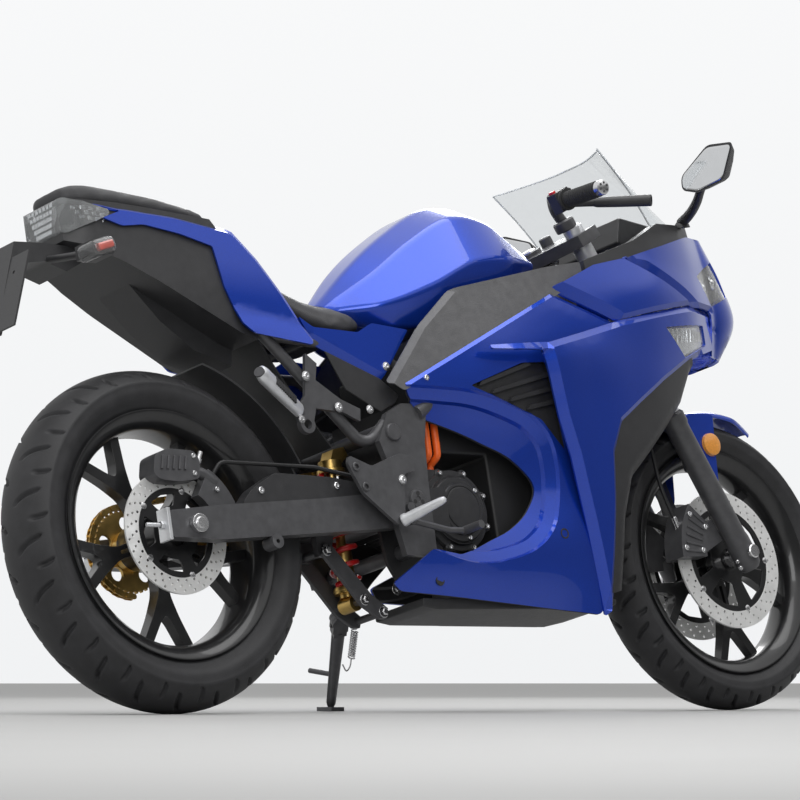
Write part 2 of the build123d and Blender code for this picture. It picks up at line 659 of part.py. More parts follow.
# Tail: side cowls, inner fender, lamp, number plate holder with signals
TAIL_Z = (600, 760, 940)
TAIL = [
    (-240, (24, 28, 24)),
    (-160, (50, 56, 50)),
    (-130, (78, 84, 80)),
    (-60, (97, 104, 98)),
    (0, (104, 112, 104)),
    (170, (118, 124, 114)),
    (340, (134, 136, 124)),
]
TAIL_SIDE = [(-134, 917), (60, 897), (171, 877), (224, 817), (270, 750), (320, 668), (314, 654),
             (190, 672), (168, 690), (140, 760), (128, 836), (60, 856), (-14, 870), (-58, 866),
             (-96, 880), (-59, 894)]
tail_right = skin(TAIL, TAIL_Z, TAIL_SIDE)
store("tail_cowl_right", tail_right)
store("tail_cowl_left", mirror(tail_right, about=Plane.XZ))
UNDER = [(-134, 919), (136, 890), (205, 790), (205, 664), (170, 676), (-75, 807), (-156, 846), (-156, 860)]
FENDER = [(-62, 812), (-15, 774), (43, 711), (113, 660), (196, 634), (205, 690), (150, 710), (-40, 815)]
FENDER_HALF = 45
tail_room = pair(envelope(TAIL, TAIL_Z, SKIN + SEAT_GAP))
under_slab = prism(UNDER, -200, 200)
RAIL_ROOM = 11 + SEAT_GAP
rail_room = pair(tube(RAIL, RAIL_ROOM, 30))
LIGHT = [(-162, 930), (-133, 914), (-68, 892), (-102, 877), (-158, 856)]
LIGHT_PLAN = [(-166, 44), (-150, 62), (-130, 84), (-60, 101)]
LIGHT_CORE = [(-148, 28), (-126, 60), (-50, 78)]
light_core = plan_prism(both_edges(LIGHT_CORE), 780, 960)
tail_light = joined([padded(LIGHT, LIGHT_PLAN)], [light_core, pillion])
store("tail_light", tail_light)
with BuildPart() as under_body:
    add(under_slab)
    add(tail_room, mode=Mode.INTERSECT)
    add(prism(FENDER, -FENDER_HALF, FENDER_HALF))
    add(rail_room, mode=Mode.SUBTRACT)
    add(upper_rails, mode=Mode.SUBTRACT)
    add(pillion, mode=Mode.SUBTRACT)
    add(tail_light, mode=Mode.SUBTRACT)
under_tail = under_body.part
store("under_tail", under_tail)
HOLDER = [(-90, 824), (-90, 838), (-196, 842), (-258, 840), (-320, 668), (-310, 664), (-250, 800),
          (-196, 808), (-150, 792)]
PLATE_TOP = Vector(-292.5, 0, 738)
PLATE_TURN = 20.6
plate = Pos(PLATE_TOP) * Rot(0, PLATE_TURN, 0) * Box(4, 190, 150)
plate_hole = [Pos(PLATE_TOP) * Rot(0, PLATE_TURN, 0) * Pos(0, y, 40) * Rot(0, 90, 0) * Cylinder(3.25, 40)
              for y in (-60, 60)]
signal_arms = [rod((-186, y, 812), (-178, 4 * y, 792), 7) for y in (-36, 36)]
signal_heads = [Pos(-180, y, 790) * Box(42, 54, 26) for y in (-166, 166)]
holder = joined([prism(HOLDER, -42, 42)], [under_tail, tail_light])
store("plate_holder", joined([holder, plate] + signal_arms + signal_heads, plate_hole))

# Side panels under the seat, covers over the rails below them and the mudguard hugging the rear tyre
PANEL_IN = 126
SIDE_PANEL = [(324, 664), (299, 710), (330, 692), (437, 688), (474, 708), (562, 700), (480, 597)]
COVER = [(354, 649), (478, 603), (520, 572), (508, 556), (470, 538), (392, 577)]
store("side_panels", pair(prism(SIDE_PANEL, PANEL_IN, PANEL_IN + SKIN)))
store("frame_covers", pair(prism(COVER, PANEL_IN - SEAT_GAP - SKIN, PANEL_IN - SEAT_GAP)))
HUG_R = 327
with BuildPart() as hugger:
    with BuildSketch(Plane.XZ.offset(-76)):
        with BuildLine():
            inner_arc = CenterArc(REAR, HUG_R, 24, 48)
            outer_arc = CenterArc(REAR, HUG_R + 4, 24, 48)
            Line(inner_arc @ 0, outer_arc @ 0)
            Line(inner_arc @ 1, outer_arc @ 1)
        make_face()
    extrude(amount=152)
    with BuildSketch(Plane.XZ.offset(-50)):
        with BuildLine():
            low_arc = CenterArc(REAR, HUG_R, 10.5, 15)
            high_arc = CenterArc(REAR, HUG_R + 4, 10.5, 15)
            Line(low_arc @ 0, high_arc @ 0)
            Line(low_arc @ 1, high_arc @ 1)
        make_face()
    extrude(amount=100)
    with BuildSketch(Plane.XZ.offset(-50)):
        with BuildLine():
            Polyline((322, 373), (346 - SEAT_GAP, 372), (346 - SEAT_GAP, 384), (322, 384), close=True)
        make_face()
    extrude(amount=100)
store("hugger", hugger.part)

# Pegs, brackets and the brake pedal
BRACKET = [(345, 414), (345, 430), (404, 424), (470, 452), (512, 448), (512, 320), (456, 312),
           (438, 346), (400, 392)]
BRACKET_IN = PLATE_OUT + 8 + SEAT_GAP
rider_bracket = prism(BRACKET, BRACKET_IN, BRACKET_IN + 8)
rider_stop = disc((500, 400), 10, PLATE_OUT + SEAT_GAP, BRACKET_IN + 2)
rider_peg = rod((484, -BRACKET_IN - 6, 336), (500, -236, 345), 11)
store("rider_pegs", pair(joined([rider_bracket, rider_stop, rider_peg])))
pedal_path = [(470, -BRACKET_IN - 14, 322), (560, -BRACKET_IN - 14, 306), (600, -BRACKET_IN - 14, 306)]
pedal = [tube(pedal_path, 6, 20), rod((600, -BRACKET_IN - 8, 306), (604, -206, 308), 8),
         disc((470, 322), 9, BRACKET_IN + 8 + SEAT_GAP, BRACKET_IN + 20)]
store("brake_pedal", joined(pedal))
PASS_IN = 122.2
HANGER = [(302, 640), (326, 622), (318, 590), (372, 556), (416, 540), (412, 516), (372, 532), (310, 536),
          (296, 500), (282, 488), (268, 500), (262, 530), (288, 560)]
EYE = (282, 504)
hanger = joined([prism(HANGER, PASS_IN, PASS_IN + 8), disc(EYE, 17, PASS_IN, PASS_IN + 12)],
                [disc(EYE, 9, 50, 200)])
rear_peg = rod((274, -PASS_IN - 4, 528), (135, -190, 580), 10)
store("passenger_pegs", pair(joined([hanger, rear_peg], [disc(EYE, 9, 50, 200)])))

# Rear brake: caliper over the disc on a bracket round the axle spacer, hose along the arm
CAL_TURN = 16
CAL_SWEEP = 42
REAR_CAL = [
    # inner radius, outer radius, near, far
    (74, 132, REAR_DISC_Y + 7, 92),
    (74, 132, 46, REAR_DISC_Y - 7),
    (119, 132, 46, 92),
]
caliper_rear = [sector(REAR, r1, r2, CAL_TURN, CAL_SWEEP, near, far) for r1, r2, near, far in REAR_CAL]
carrier = joined([prism([(-14, 330), (-14, 296), (14, 290), (96, 330), (60, 350), (10, 340)], 84, 92)],
                 [disc(REAR, SPACER_R + SEAT_GAP, 50, 200)])
HOSE = [(82, -80, 410), (104, -86, 440), (300, -112, 430), (400, -122, 410), (455, -122, 414)]
hose = tube(HOSE, 4, 20)
rear_brake = joined(caliper_rear + [carrier])
store("rear_brake", rear_brake)
store("rear_brake_hose", joined([hose], [rear_brake]))

# Two thick cables from the motor up to the pack
CABLE_Y = -PACK_HALF - 7 - SEAT_GAP
CABLE_Z = TERMINAL_Z + SEAT_GAP
cables = []
for x in (581, 603):
    run = [(x, -90, CABLE_Z), (x, -90, CABLE_Z + 10), (x + 4, CABLE_Y, CABLE_Z + 24), (x + 6, CABLE_Y, 535)]
    cables.append(tube(run, 7, 11))
store("motor_cables", joined(cables))

# Fork, drawn along its own frame
CLAMP_LOW = (468, 505)
CLAMP_HIGH = (695, 720)
BAR_S = 800


def fork_rod(start, end, radius):
    """Round bar in the fork's frame."""
    return forked(rod(start, end, radius))


legs = []
for y in (-FORK_Y, FORK_Y):
    legs.append(fork_rod((0, y, -26), (0, y, 300), 25))
    legs.append(fork_rod((0, y, 300), (0, y, 735), 20.5))
front_axle = disc(FRONT, AXLE_R, -FORK_Y - 30, FORK_Y + 30)
front_spacers = [disc(FRONT, 17, near, near + 24) for near in (FRONT_HUB + 6, -FRONT_HUB - 30)]
store("fork_legs", joined(legs + [front_axle] + front_spacers))

CLAMP_PLAN = [(-OFFSET - 38, -34), (-OFFSET - 38, 34), (-30, FORK_Y + 32), (30, FORK_Y + 32), (36, 40),
              (36, -40), (30, -FORK_Y - 32), (-30, -FORK_Y - 32)]
leg_holes = [fork_rod((0, y, 400), (0, y, 780), 20.5 + SEAT_GAP) for y in (-FORK_Y, FORK_Y)]
clamps = [forked(plan_prism(CLAMP_PLAN, low, high)) for low, high in (CLAMP_LOW, CLAMP_HIGH)]
stem = fork_rod((-OFFSET, 0, CLAMP_LOW[0]), (-OFFSET, 0, CLAMP_HIGH[1] + 8), STEM_R)
store("triple_clamps", joined(clamps + [stem], leg_holes))

bars = []
grips = []
levers = []
BAR_TOP = CLAMP_HIGH[1] + 34
BAR_END = 345
for side in (-1, 1):
    start = (-10, side * (FORK_Y - 4), BAR_TOP)
    path = [start, (-34, side * 112, BAR_S), (-121, side * 226, BAR_S + 2),
            (-138, side * BAR_END, BAR_S - 3)]
    bars.append(forked(tube(path, 11, 26)))
    clip_low = (-10, side * (FORK_Y - 4), CLAMP_HIGH[1] + 15 + SEAT_GAP)
    bars.append(fork_rod(clip_low, start[:2] + (BAR_TOP + 4,), 20))
    grip_run = Vector(path[3]) - Vector(path[2])
    grip_axis = grip_run.normalized()
    grip_in = Vector(path[2]) + grip_run * 0.1
    grip_out = Vector(path[2]) + grip_run * 0.9
    grip_bore = forked(rod(grip_in - grip_axis * 20, grip_out + grip_axis * 20, 11 + SEAT_GAP))
    grips.append(joined([forked(rod(grip_in, grip_out, 16))], [grip_bore]))
    pod = forked(Pos(-112, side * 214, BAR_S + 2) * Box(44, 24, 46))
    blade_path = [(-104, side * 214, BAR_S - 8), (-74, side * 236, BAR_S - 26),
                  (-26, side * 316, BAR_S - 72)]
    blade = forked(tube(blade_path, 7, 14))
    bar_room = forked(tube(path, 11 + SEAT_GAP, 26))
    levers.append(joined([pod, blade], [bar_room]))
store("handlebars", joined(bars))
store("grips", joined(grips))
store("brake_levers", joined(levers))

# Front mudguard: hoop over the tyre with a stay down to each leg
GUARD_R = FRONT_R + 8
with BuildPart() as front_fender:
    with BuildSketch(Plane.XZ.offset(-62)):
        with BuildLine():
            guard_in = CenterArc(FRONT, GUARD_R, 64, 92)
            guard_out = CenterArc(FRONT, GUARD_R + 4, 64, 92)
            Line(guard_in @ 0, guard_out @ 0)
            Line(guard_in @ 1, guard_out @ 1)
        make_face()
    extrude(amount=124)
STAY = [(1288, 577), (1350, 595), (1412, 597), (1400, 520), (1392, 440), (1372, 420), (1340, 470)]
stays = pair(prism(STAY, 62, 66))
boss_side = [(1296, 462), (1350, 462), (1356, 520), (1290, 520)]
stay_boss = pair(prism(boss_side, 62, 82))
leg_room = [fork_rod((0, y, -60), (0, y, 400), 25 + SEAT_GAP) for y in (-FORK_Y, FORK_Y)]
store("front_fender", joined([front_fender.part, stays, stay_boss], leg_room))

# Front calipers behind the legs, hoses up to the lower clamp
FRONT_CAL = [
    # inner radius, outer radius, near, far
    (92, 160, FRONT_DISC_Y + 7, 88),
    (92, 160, 38, FRONT_DISC_Y - 7),
    (147, 160, 38, 88),
]
caliper_front = [sector(FRONT, r1, r2, 140, 42, near, far) for r1, r2, near, far in FRONT_CAL]
LUG = [(-90, 24 - FORK_Y), (-90, 12 - FORK_Y), (-20, 12 - FORK_Y), (-20, 24 - FORK_Y)]
lug = forked(plan_prism(LUG, 46, 94))
lug_cut = fork_rod((0, -FORK_Y, -60), (0, -FORK_Y, 380), 25 + SEAT_GAP)
front_calipers = pair(joined(caliper_front + [lug], [lug_cut]))
store("front_calipers", front_calipers)
HOSE_TOP = CLAMP_LOW[0] - SEAT_GAP
front_hose = forked(tube([(-104, 72, 112), (-92, 72, 220), (-50, 76, 330), (-44, 78, HOSE_TOP)], 4, 40))
store("front_brake_hoses", joined([pair(front_hose)], [front_calipers]))

# Frame with the stays that carry fairing, tank, seat, dials and lamps
fairing_stay = rod((800, -119, 690), (800, -230, 690), 8)
fairing_room = envelope(MID, MID_Z, SKIN + SEAT_GAP)
with BuildPart() as fairing_stay_cut:
    add(fairing_stay)
    add(fairing_room, mode=Mode.INTERSECT)
tank_posts = pair(rod((800, -112, 695), (800, -112, 800), 8))
nose_tube = tube([(1110, 0, 818), (1240, 0, 880), (1500, 0, 862)], 9, 60)
nose_stay = joined([nose_tube, rod((1270, 0, 878), (1270, 0, 945), 8)])
with BuildPart() as nose_stay_cut:
    add(nose_stay)
    add(lamp_back, mode=Mode.INTERSECT)
stays_all = [pair(fairing_stay_cut.part), tank_posts, nose_stay_cut.part]
carried = [head_bore, tank_cover.part, rider_seat, dial, headlamps.part]
store("main_frame", joined(frame_pieces + stays_all, carried))
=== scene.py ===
"""Electric sport motorcycle on its side stand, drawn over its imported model.

Pieces are drawn in the frame of the upright machine, in millimetres: x forward from the rear axle,
y to the left, z up.  PARK leans them on the stand and turns them into metres of the shared frame.
"""

import json
from math import asin, atan2, ceil, cos, pi, radians, sin, sqrt

import bmesh
import bpy
import numpy as np
from mathutils import Matrix, Vector
from mathutils.geometry import delaunay_2d_cdt

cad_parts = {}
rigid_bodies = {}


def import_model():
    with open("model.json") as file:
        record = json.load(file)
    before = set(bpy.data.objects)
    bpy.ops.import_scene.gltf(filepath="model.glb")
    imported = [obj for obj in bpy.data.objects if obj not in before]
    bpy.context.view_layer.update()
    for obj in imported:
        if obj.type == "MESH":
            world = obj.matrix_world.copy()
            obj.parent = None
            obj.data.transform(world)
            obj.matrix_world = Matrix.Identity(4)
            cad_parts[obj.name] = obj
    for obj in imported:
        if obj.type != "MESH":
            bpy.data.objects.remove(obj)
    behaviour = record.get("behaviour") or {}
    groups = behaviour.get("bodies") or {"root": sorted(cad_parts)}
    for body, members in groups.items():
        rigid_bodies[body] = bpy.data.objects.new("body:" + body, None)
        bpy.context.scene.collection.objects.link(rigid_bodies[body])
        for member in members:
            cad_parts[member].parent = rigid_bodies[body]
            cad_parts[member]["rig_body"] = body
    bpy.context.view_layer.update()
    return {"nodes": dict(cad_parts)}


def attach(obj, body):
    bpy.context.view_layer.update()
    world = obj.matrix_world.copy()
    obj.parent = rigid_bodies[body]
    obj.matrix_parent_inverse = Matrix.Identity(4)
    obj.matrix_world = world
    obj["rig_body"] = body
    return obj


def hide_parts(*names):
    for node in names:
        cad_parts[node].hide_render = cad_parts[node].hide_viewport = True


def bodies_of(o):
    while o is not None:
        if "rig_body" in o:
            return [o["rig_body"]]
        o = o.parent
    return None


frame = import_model()

LEAN = radians(12.5)
RAKE = radians(27)
PARK = (Matrix.Translation((-0.686, -0.2185, 0.0016)) @ Matrix.Rotation(-LEAN, 4, "X")
        @ Matrix.Scale(0.001, 4))
FORK = Matrix(((cos(RAKE), 0, -sin(RAKE), 1400), (0, 1, 0, 0), (sin(RAKE), 0, cos(RAKE), 293),
               (0, 0, 0, 1)))
UPRIGHT = Matrix.Identity(4)
REAR = (0, 312)
FRONT = (1400, 293)


# Materials
def material(name, colour, rough, metal=0.0, coat=0.0, vary=0.12, scale=60, bump=0.0, grain=400, **more):
    """Finish with a mottled colour and roughness and a fine grained surface."""
    mat = bpy.data.materials.new("drawn " + name)
    mat["slot"] = name.split()[0]
    mat.use_nodes = True
    tree = mat.node_tree
    shader = tree.nodes["Principled BSDF"]
    place = tree.nodes.new("ShaderNodeTexCoord")
    mottle = tree.nodes.new("ShaderNodeTexNoise")
    mottle.inputs["Scale"].default_value = scale
    mottle.inputs["Detail"].default_value = 4
    tree.links.new(place.outputs["Object"], mottle.inputs["Vector"])
    ramp = tree.nodes.new("ShaderNodeValToRGB")
    ramp.color_ramp.elements[0].position = 0.3
    ramp.color_ramp.elements[1].position = 0.7
    ramp.color_ramp.elements[0].color = [c * (1 - vary) for c in colour] + [1]
    ramp.color_ramp.elements[1].color = [min(1, c * (1 + vary)) for c in colour] + [1]
    tree.links.new(mottle.outputs["Fac"], ramp.inputs["Fac"])
    tree.links.new(ramp.outputs["Color"], shader.inputs["Base Color"])
    worn = tree.nodes.new("ShaderNodeMapRange")
    worn.inputs["To Min"].default_value = rough * 0.85
    worn.inputs["To Max"].default_value = min(1, rough * 1.15)
    tree.links.new(mottle.outputs["Fac"], worn.inputs["Value"])
    tree.links.new(worn.outputs["Result"], shader.inputs["Roughness"])
    if bump:
        fine = tree.nodes.new("ShaderNodeTexNoise")
        fine.inputs["Scale"].default_value = grain
        fine.inputs["Detail"].default_value = 2
        tree.links.new(place.outputs["Object"], fine.inputs["Vector"])
        rise = tree.nodes.new("ShaderNodeBump")
        rise.inputs["Strength"].default_value = bump
        rise.inputs["Distance"].default_value = 0.0006
        tree.links.new(fine.outputs["Fac"], rise.inputs["Height"])
        tree.links.new(rise.outputs["Normal"], shader.inputs["Normal"])
    shader.inputs["Metallic"].default_value = metal
    shader.inputs["Coat Weight"].default_value = coat
    shader.inputs["Coat Roughness"].default_value = 0.03
    for key, value in more.items():
        shader.inputs[key.replace("_", " ")].default_value = value
    return mat


PAINT = material("blue_paint", (0.011, 0.055, 0.46), 0.30, 0.60, 1.0, 0.10, 700,
                 Specular_IOR_Level=0.1)
PLASTIC = material("black_plastic", (0.028, 0.028, 0.030), 0.42, bump=0.35, grain=900)
# Grained black plastic of the knee panels: its base is raised to grey as a painted reflection of the bright
# sky
GRAINED_SHEEN = material("black_plastic grained", (0.12, 0.12, 0.125), 0.55, bump=1.0, grain=420)
# Black metal of frame, arm and fittings: its base is raised to grey as a painted reflection of the bright sky
METAL = material("black_metal", (0.085, 0.085, 0.090), 0.38, 0.25, bump=0.12, grain=700)
CAST = material("black_metal cast", (0.015, 0.015, 0.016), 0.30, 0.2, 0.5, bump=0.1, grain=500)
RUBBER = material("tyre_rubber", (0.022, 0.022, 0.024), 0.58, vary=0.25, scale=40, bump=0.4, grain=600)
GRIP = material("grip_rubber", (0.020, 0.020, 0.021), 0.72, bump=0.5, grain=500)
DISC = material("disc_steel", (0.84, 0.84, 0.83), 0.40, 0.4, vary=0.06, scale=30)
ALLOY = material("bright_steel alloy", (0.74, 0.75, 0.77), 0.34, 0.65, vary=0.05)
STEEL = material("bright_steel", (0.70, 0.70, 0.71), 0.26, 1.0, vary=0.06)
GOLD = material("gold_steel", (0.62, 0.42, 0.14), 0.34, 1.0, vary=0.14)
RED = material("spring_red", (0.55, 0.012, 0.012), 0.33, 0.1, 0.6)
MOTOR = material("motor_black", (0.034, 0.034, 0.036), 0.40, 0.2, bump=0.2, grain=800)
CASE = material("pack_case", (0.008, 0.008, 0.009), 0.55, bump=0.3, grain=500)
VINYL = material("seat_vinyl", (0.045, 0.045, 0.048), 0.60, bump=0.8, grain=620)
CLEAR = material("clear_lens", (0.92, 0.93, 0.94), 0.06, vary=0.02, Transmission_Weight=0.9, IOR=1.45)
GREY = material("grey_lens", (0.78, 0.80, 0.81), 0.08, vary=0.04, Transmission_Weight=0.80, IOR=1.45)
SCREEN = material("screen", (0.93, 0.95, 0.96), 0.03, vary=0.01, Transmission_Weight=1.0, IOR=1.12)
# Whitish, half clear glass for strips along the screen's edges: a painted highlight of its bright rims
SCREEN_GLINT = material("screen edge", (0.90, 0.93, 0.95), 0.12, vary=0.03, Transmission_Weight=0.35, IOR=1.4)
MIRROR = material("mirror", (0.72, 0.73, 0.74), 0.08, 1.0, vary=0.02)
ORANGE = material("orange_cable", (0.85, 0.13, 0.012), 0.45, bump=0.2)
HOSE = material("hose", (0.016, 0.016, 0.017), 0.42, bump=0.3, grain=1200)
AMBER = material("clear_lens amber", (0.80, 0.33, 0.06), 0.22, coat=0.7, vary=0.10, scale=260)
RED_LENS = material("clear_lens red", (0.70, 0.16, 0.13), 0.15, coat=0.7, Transmission_Weight=0.3)
REFLECT = material("clear_lens silver", (0.80, 0.81, 0.82), 0.16, 1.0, vary=0.10, scale=300)


# Meshes
def soften(bm, width, angle=30):
    """Round the edges of a mesh that turn by more than an angle."""
    edges = [e for e in bm.edges if len(e.link_faces) == 2 and e.calc_face_angle(0) > radians(angle)]
    if edges and width:
        bmesh.ops.bevel(bm, geom=edges, offset=width, offset_type="OFFSET", segments=3, profile=0.5,
                        affect="EDGES", clamp_overlap=True)


def finish(name, bm, mat, body, nodes=(), sharp=38):
    """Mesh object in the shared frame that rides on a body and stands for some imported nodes."""
    mesh = bpy.data.meshes.new(name)
    bm.to_mesh(mesh)
    bm.free()
    mesh.materials.append(mat)
    mesh.shade_smooth()
    mesh.set_sharp_from_angle(angle=radians(sharp))
    obj = bpy.data.objects.new(name, mesh)
    bpy.context.collection.objects.link(obj)
    weights = obj.modifiers.new("even", "WEIGHTED_NORMAL")
    weights.keep_sharp = True
    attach(obj, body)
    if nodes:
        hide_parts(*nodes)
    return obj


def body_of(node):
    """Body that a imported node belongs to."""
    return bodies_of(frame["nodes"][node])[0]


def dress(node, mat, width=1.6):
    """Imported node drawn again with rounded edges."""
    bm = bmesh.new()
    bm.from_mesh(frame["nodes"][node].data)
    bmesh.ops.remove_doubles(bm, verts=bm.verts, dist=1e-5)
    bmesh.ops.dissolve_limit(bm, angle_limit=radians(0.4), verts=bm.verts, edges=bm.edges)
    soften(bm, width * 0.001)
    return finish(node + "_drawn", bm, mat, body_of(node), [node])


# Shapes in upright millimetres
class Heap:
    """Faces gathered from several shapes before they become one mesh."""

    def __init__(self):
        self.verts = []
        self.faces = []

    def add(self, verts, faces, place=UPRIGHT):
        base = len(self.verts)
        self.verts += [place @ Vector(v) for v in verts]
        self.faces += [[base + i for i in face] for face in faces]
        return self

    def flip(self):
        """Change to the mirror image on the other side."""
        self.verts = [Vector((v.x, -v.y, v.z)) for v in self.verts]
        return self

    def twin(self):
        """Add the mirror image on the other side."""
        base = len(self.verts)
        self.verts += [Vector((v.x, -v.y, v.z)) for v in self.verts]
        self.faces += [[base + i for i in reversed(face)] for face in self.faces]
        return self


def solid(name, heap, mat, body="chassis", nodes=(), bevel=0.0, angle=30, sharp=38):
    """One mesh from a heap, parked with the machine."""
    bm = bmesh.new()
    for v in heap.verts:
        bm.verts.new(PARK @ v)
    bm.verts.ensure_lookup_table()
    for face in heap.faces:
        corners = list(dict.fromkeys(face))
        if len(corners) > 2:
            bm.faces.new([bm.verts[i] for i in corners])
    bmesh.ops.delete(bm, geom=[v for v in bm.verts if not v.link_faces], context="VERTS")
    bmesh.ops.remove_doubles(bm, verts=bm.verts, dist=2e-5)
    bmesh.ops.recalc_face_normals(bm, faces=bm.faces)
    soften(bm, bevel * 0.001, angle)
    return finish(name, bm, mat, body, nodes, sharp)


def along(axis):
    """Matrix that turns z to an axis."""
    return Vector(axis).to_track_quat("Z", "Y").to_matrix().to_4x4()


def spin(profile, origin, axis, count=32):
    """Profile of (radius, height) turned about an axis."""
    turn = Matrix.Translation(origin) @ along(axis)
    verts = []
    for r, h in profile:
        for i in range(count):
            a = 2 * pi * i / count
            verts.append(turn @ Vector((r * cos(a), r * sin(a), h)))
    faces = []
    for k in range(len(profile) - 1):
        for i in range(count):
            j = (i + 1) % count
            faces.append((k * count + i, k * count + j, (k + 1) * count + j, (k + 1) * count + i))
    return verts, faces


def ring(section, origin, axis, count=64):
    """Closed section of (radius, height) turned about an axis."""
    return spin(list(section) + [section[0]], origin, axis, count)


def rounded(outline, radius, points=4):
    """Closed outline with its corners cut round."""
    out = []
    n = len(outline)
    for i in range(n):
        a, b, c = (Vector(outline[k % n]) for k in (i - 1, i, i + 1))
        cut = min(radius, 0.45 * (a - b).length, 0.45 * (c - b).length)
        p = b + (a - b).normalized() * cut
        q = b + (c - b).normalized() * cut
        for k in range(points + 1):
            t = k / points
            out.append((1 - t) ** 2 * p + 2 * t * (1 - t) * b + t * t * q)
    return [(v.x, v.y) for v in out]


def dense(path, step, closed=True):
    """Path with extra points, so that none lie further apart than a step."""
    out = []
    ends = path[1:] + path[:1] if closed else path[1:]
    for a, b in zip(path, ends):
        n = max(1, ceil(sqrt((b[0] - a[0]) ** 2 + (b[1] - a[1]) ** 2) / step))
        out += [(a[0] + (b[0] - a[0]) * k / n, a[1] + (b[1] - a[1]) * k / n) for k in range(n)]
    return out if closed else out + [path[-1]]


def circle(centre, radius, count):
    """Round outline."""
    return [(centre[0] + radius * cos(2 * pi * i / count), centre[1] + radius * sin(2 * pi * i / count))
            for i in range(count)]


def within(loops, x, z):
    """Which points lie inside an odd number of loops."""
    hit = np.zeros(len(x), bool)
    for loop in loops:
        for (ax, az), (bx, bz) in zip(loop, loop[1:] + loop[:1]):
            if az != bz:
                hit ^= ((az > z) != (bz > z)) & (x < (bx - ax) * (z - az) / (bz - az) + ax)
    return hit


def reach(path, x, z):
    """Distance of points from an open path."""
    best = np.full(len(x), 1e9)
    for (ax, az), (bx, bz) in zip(path, path[1:]):
        dx, dz = bx - ax, bz - az
        t = np.clip(((x - ax) * dx + (z - az) * dz) / max(dx * dx + dz * dz, 1e-9), 0, 1)
        best = np.minimum(best, np.hypot(x - ax - t * dx, z - az - t * dz))
    return best


def aside(path, distance):
    """Open path moved to its left by a distance."""
    out = []
    for i, p in enumerate(path):
        a = path[max(i - 1, 0)]
        b = path[min(i + 1, len(path) - 1)]
        run = Vector((b[0] - a[0], b[1] - a[1])).normalized()
        out.append((p[0] - run.y * distance, p[1] + run.x * distance))
    return out


def flow(path, count=5):
    """Smooth open path through the points of another."""
    run = np.cumsum([0] + [sqrt((b[0] - a[0]) ** 2 + (b[1] - a[1]) ** 2) for a, b in zip(path, path[1:])])
    at = np.linspace(0, run[-1], count * (len(path) - 1) + 1)
    return list(zip(hermite(run, [p[0] for p in path], at).tolist(),
                    hermite(run, [p[1] for p in path], at).tolist()))


def fill(loops, lines=(), grid=0.0):
    """Triangles of the area inside loops, along some lines, with a grid of points inside."""
    points, edges = [], []
    for loop in loops:
        base = len(points)
        points += loop
        edges += [(base + i, base + (i + 1) % len(loop)) for i in range(len(loop))]
    for line in lines:
        base = len(points)
        points += line
        edges += [(base + i, base + i + 1) for i in range(len(line) - 1)]
    if grid:
        low = np.min(loops[0], axis=0)
        high = np.max(loops[0], axis=0)
        zs = np.arange(low[1], high[1], grid * 0.87)
        gx, gz = np.meshgrid(np.arange(low[0], high[0], grid), zs)
        gx[1::2] += grid / 2
        gx, gz = gx.ravel(), gz.ravel()
        keep = within(loops, gx, gz)
        for path in [loop + loop[:1] for loop in loops] + list(lines):
            keep &= reach(path, gx, gz) > grid * 0.78
        points += list(zip(gx[keep], gz[keep]))
    flat, _, faces, _, _, _ = delaunay_2d_cdt([Vector(p) for p in points], edges, [], 0, 1e-4)
    flat = np.array([(p.x, p.y) for p in flat])
    faces = [f for f in faces if len(f) == 3]
    middle = flat[np.array(faces)].mean(axis=1)
    inside = within(loops, middle[:, 0], middle[:, 1])
    return flat, [f for f, ok in zip(faces, inside) if ok]


def rims(faces):
    """Edges that only one face has."""
    seen = {(a, b) for f in faces for a, b in zip(f, f[1:] + f[:1])}
    return sorted((a, b) for a, b in seen if (b, a) not in seen)


def slab(loops, low, high, place=UPRIGHT, grid=0.0):
    """Flat piece with holes, its loops in (x, z), from one offset to the right to another."""
    flat, faces = fill(loops, grid=grid)
    n = len(flat)
    verts = [(x, -low, z) for x, z in flat] + [(x, -high, z) for x, z in flat]
    walls = [(a, b, b + n, a + n) for a, b in rims(faces)]
    both = [tuple(f) for f in faces] + [tuple(i + n for i in reversed(f)) for f in faces] + walls
    return [place @ Vector(v) for v in verts], both


def hermite(knots, values, at):
    """Smooth curve through values at rising knots, sampled at an array of places."""
    knots = np.asarray(knots, float)
    values = np.asarray(values, float)
    if values.ndim == 1:
        values = np.repeat(values[:, None], len(at), axis=1)
    at = np.clip(at, knots[0], knots[-1])
    step = np.diff(knots)
    slope = np.diff(values, axis=0) / step[:, None]
    lean = np.empty_like(values)
    lean[0], lean[-1] = slope[0], slope[-1]
    share = (step[1:] / (step[1:] + step[:-1]))[:, None]
    lean[1:-1] = slope[:-1] * share + slope[1:] * (1 - share)
    k = np.clip(np.searchsorted(knots, at, side="right") - 1, 0, len(knots) - 2)
    h = step[k]
    t = (at - knots[k]) / h
    col = np.arange(len(at))
    return ((2 * t ** 3 - 3 * t ** 2 + 1) * values[k, col] + (t ** 3 - 2 * t ** 2 + t) * h * lean[k, col]
            + (3 * t ** 2 - 2 * t ** 3) * values[k + 1, col] + (t ** 3 - t ** 2) * h * lean[k + 1, col])


def side(rows, levels):
    """Half width of a body at side-view points, from a table of widths by station and height."""
    stations = [x for x, _ in rows]

    def width(x, z):
        return hermite(stations, [hermite(levels, widths, z) for _, widths in rows], x)

    return width


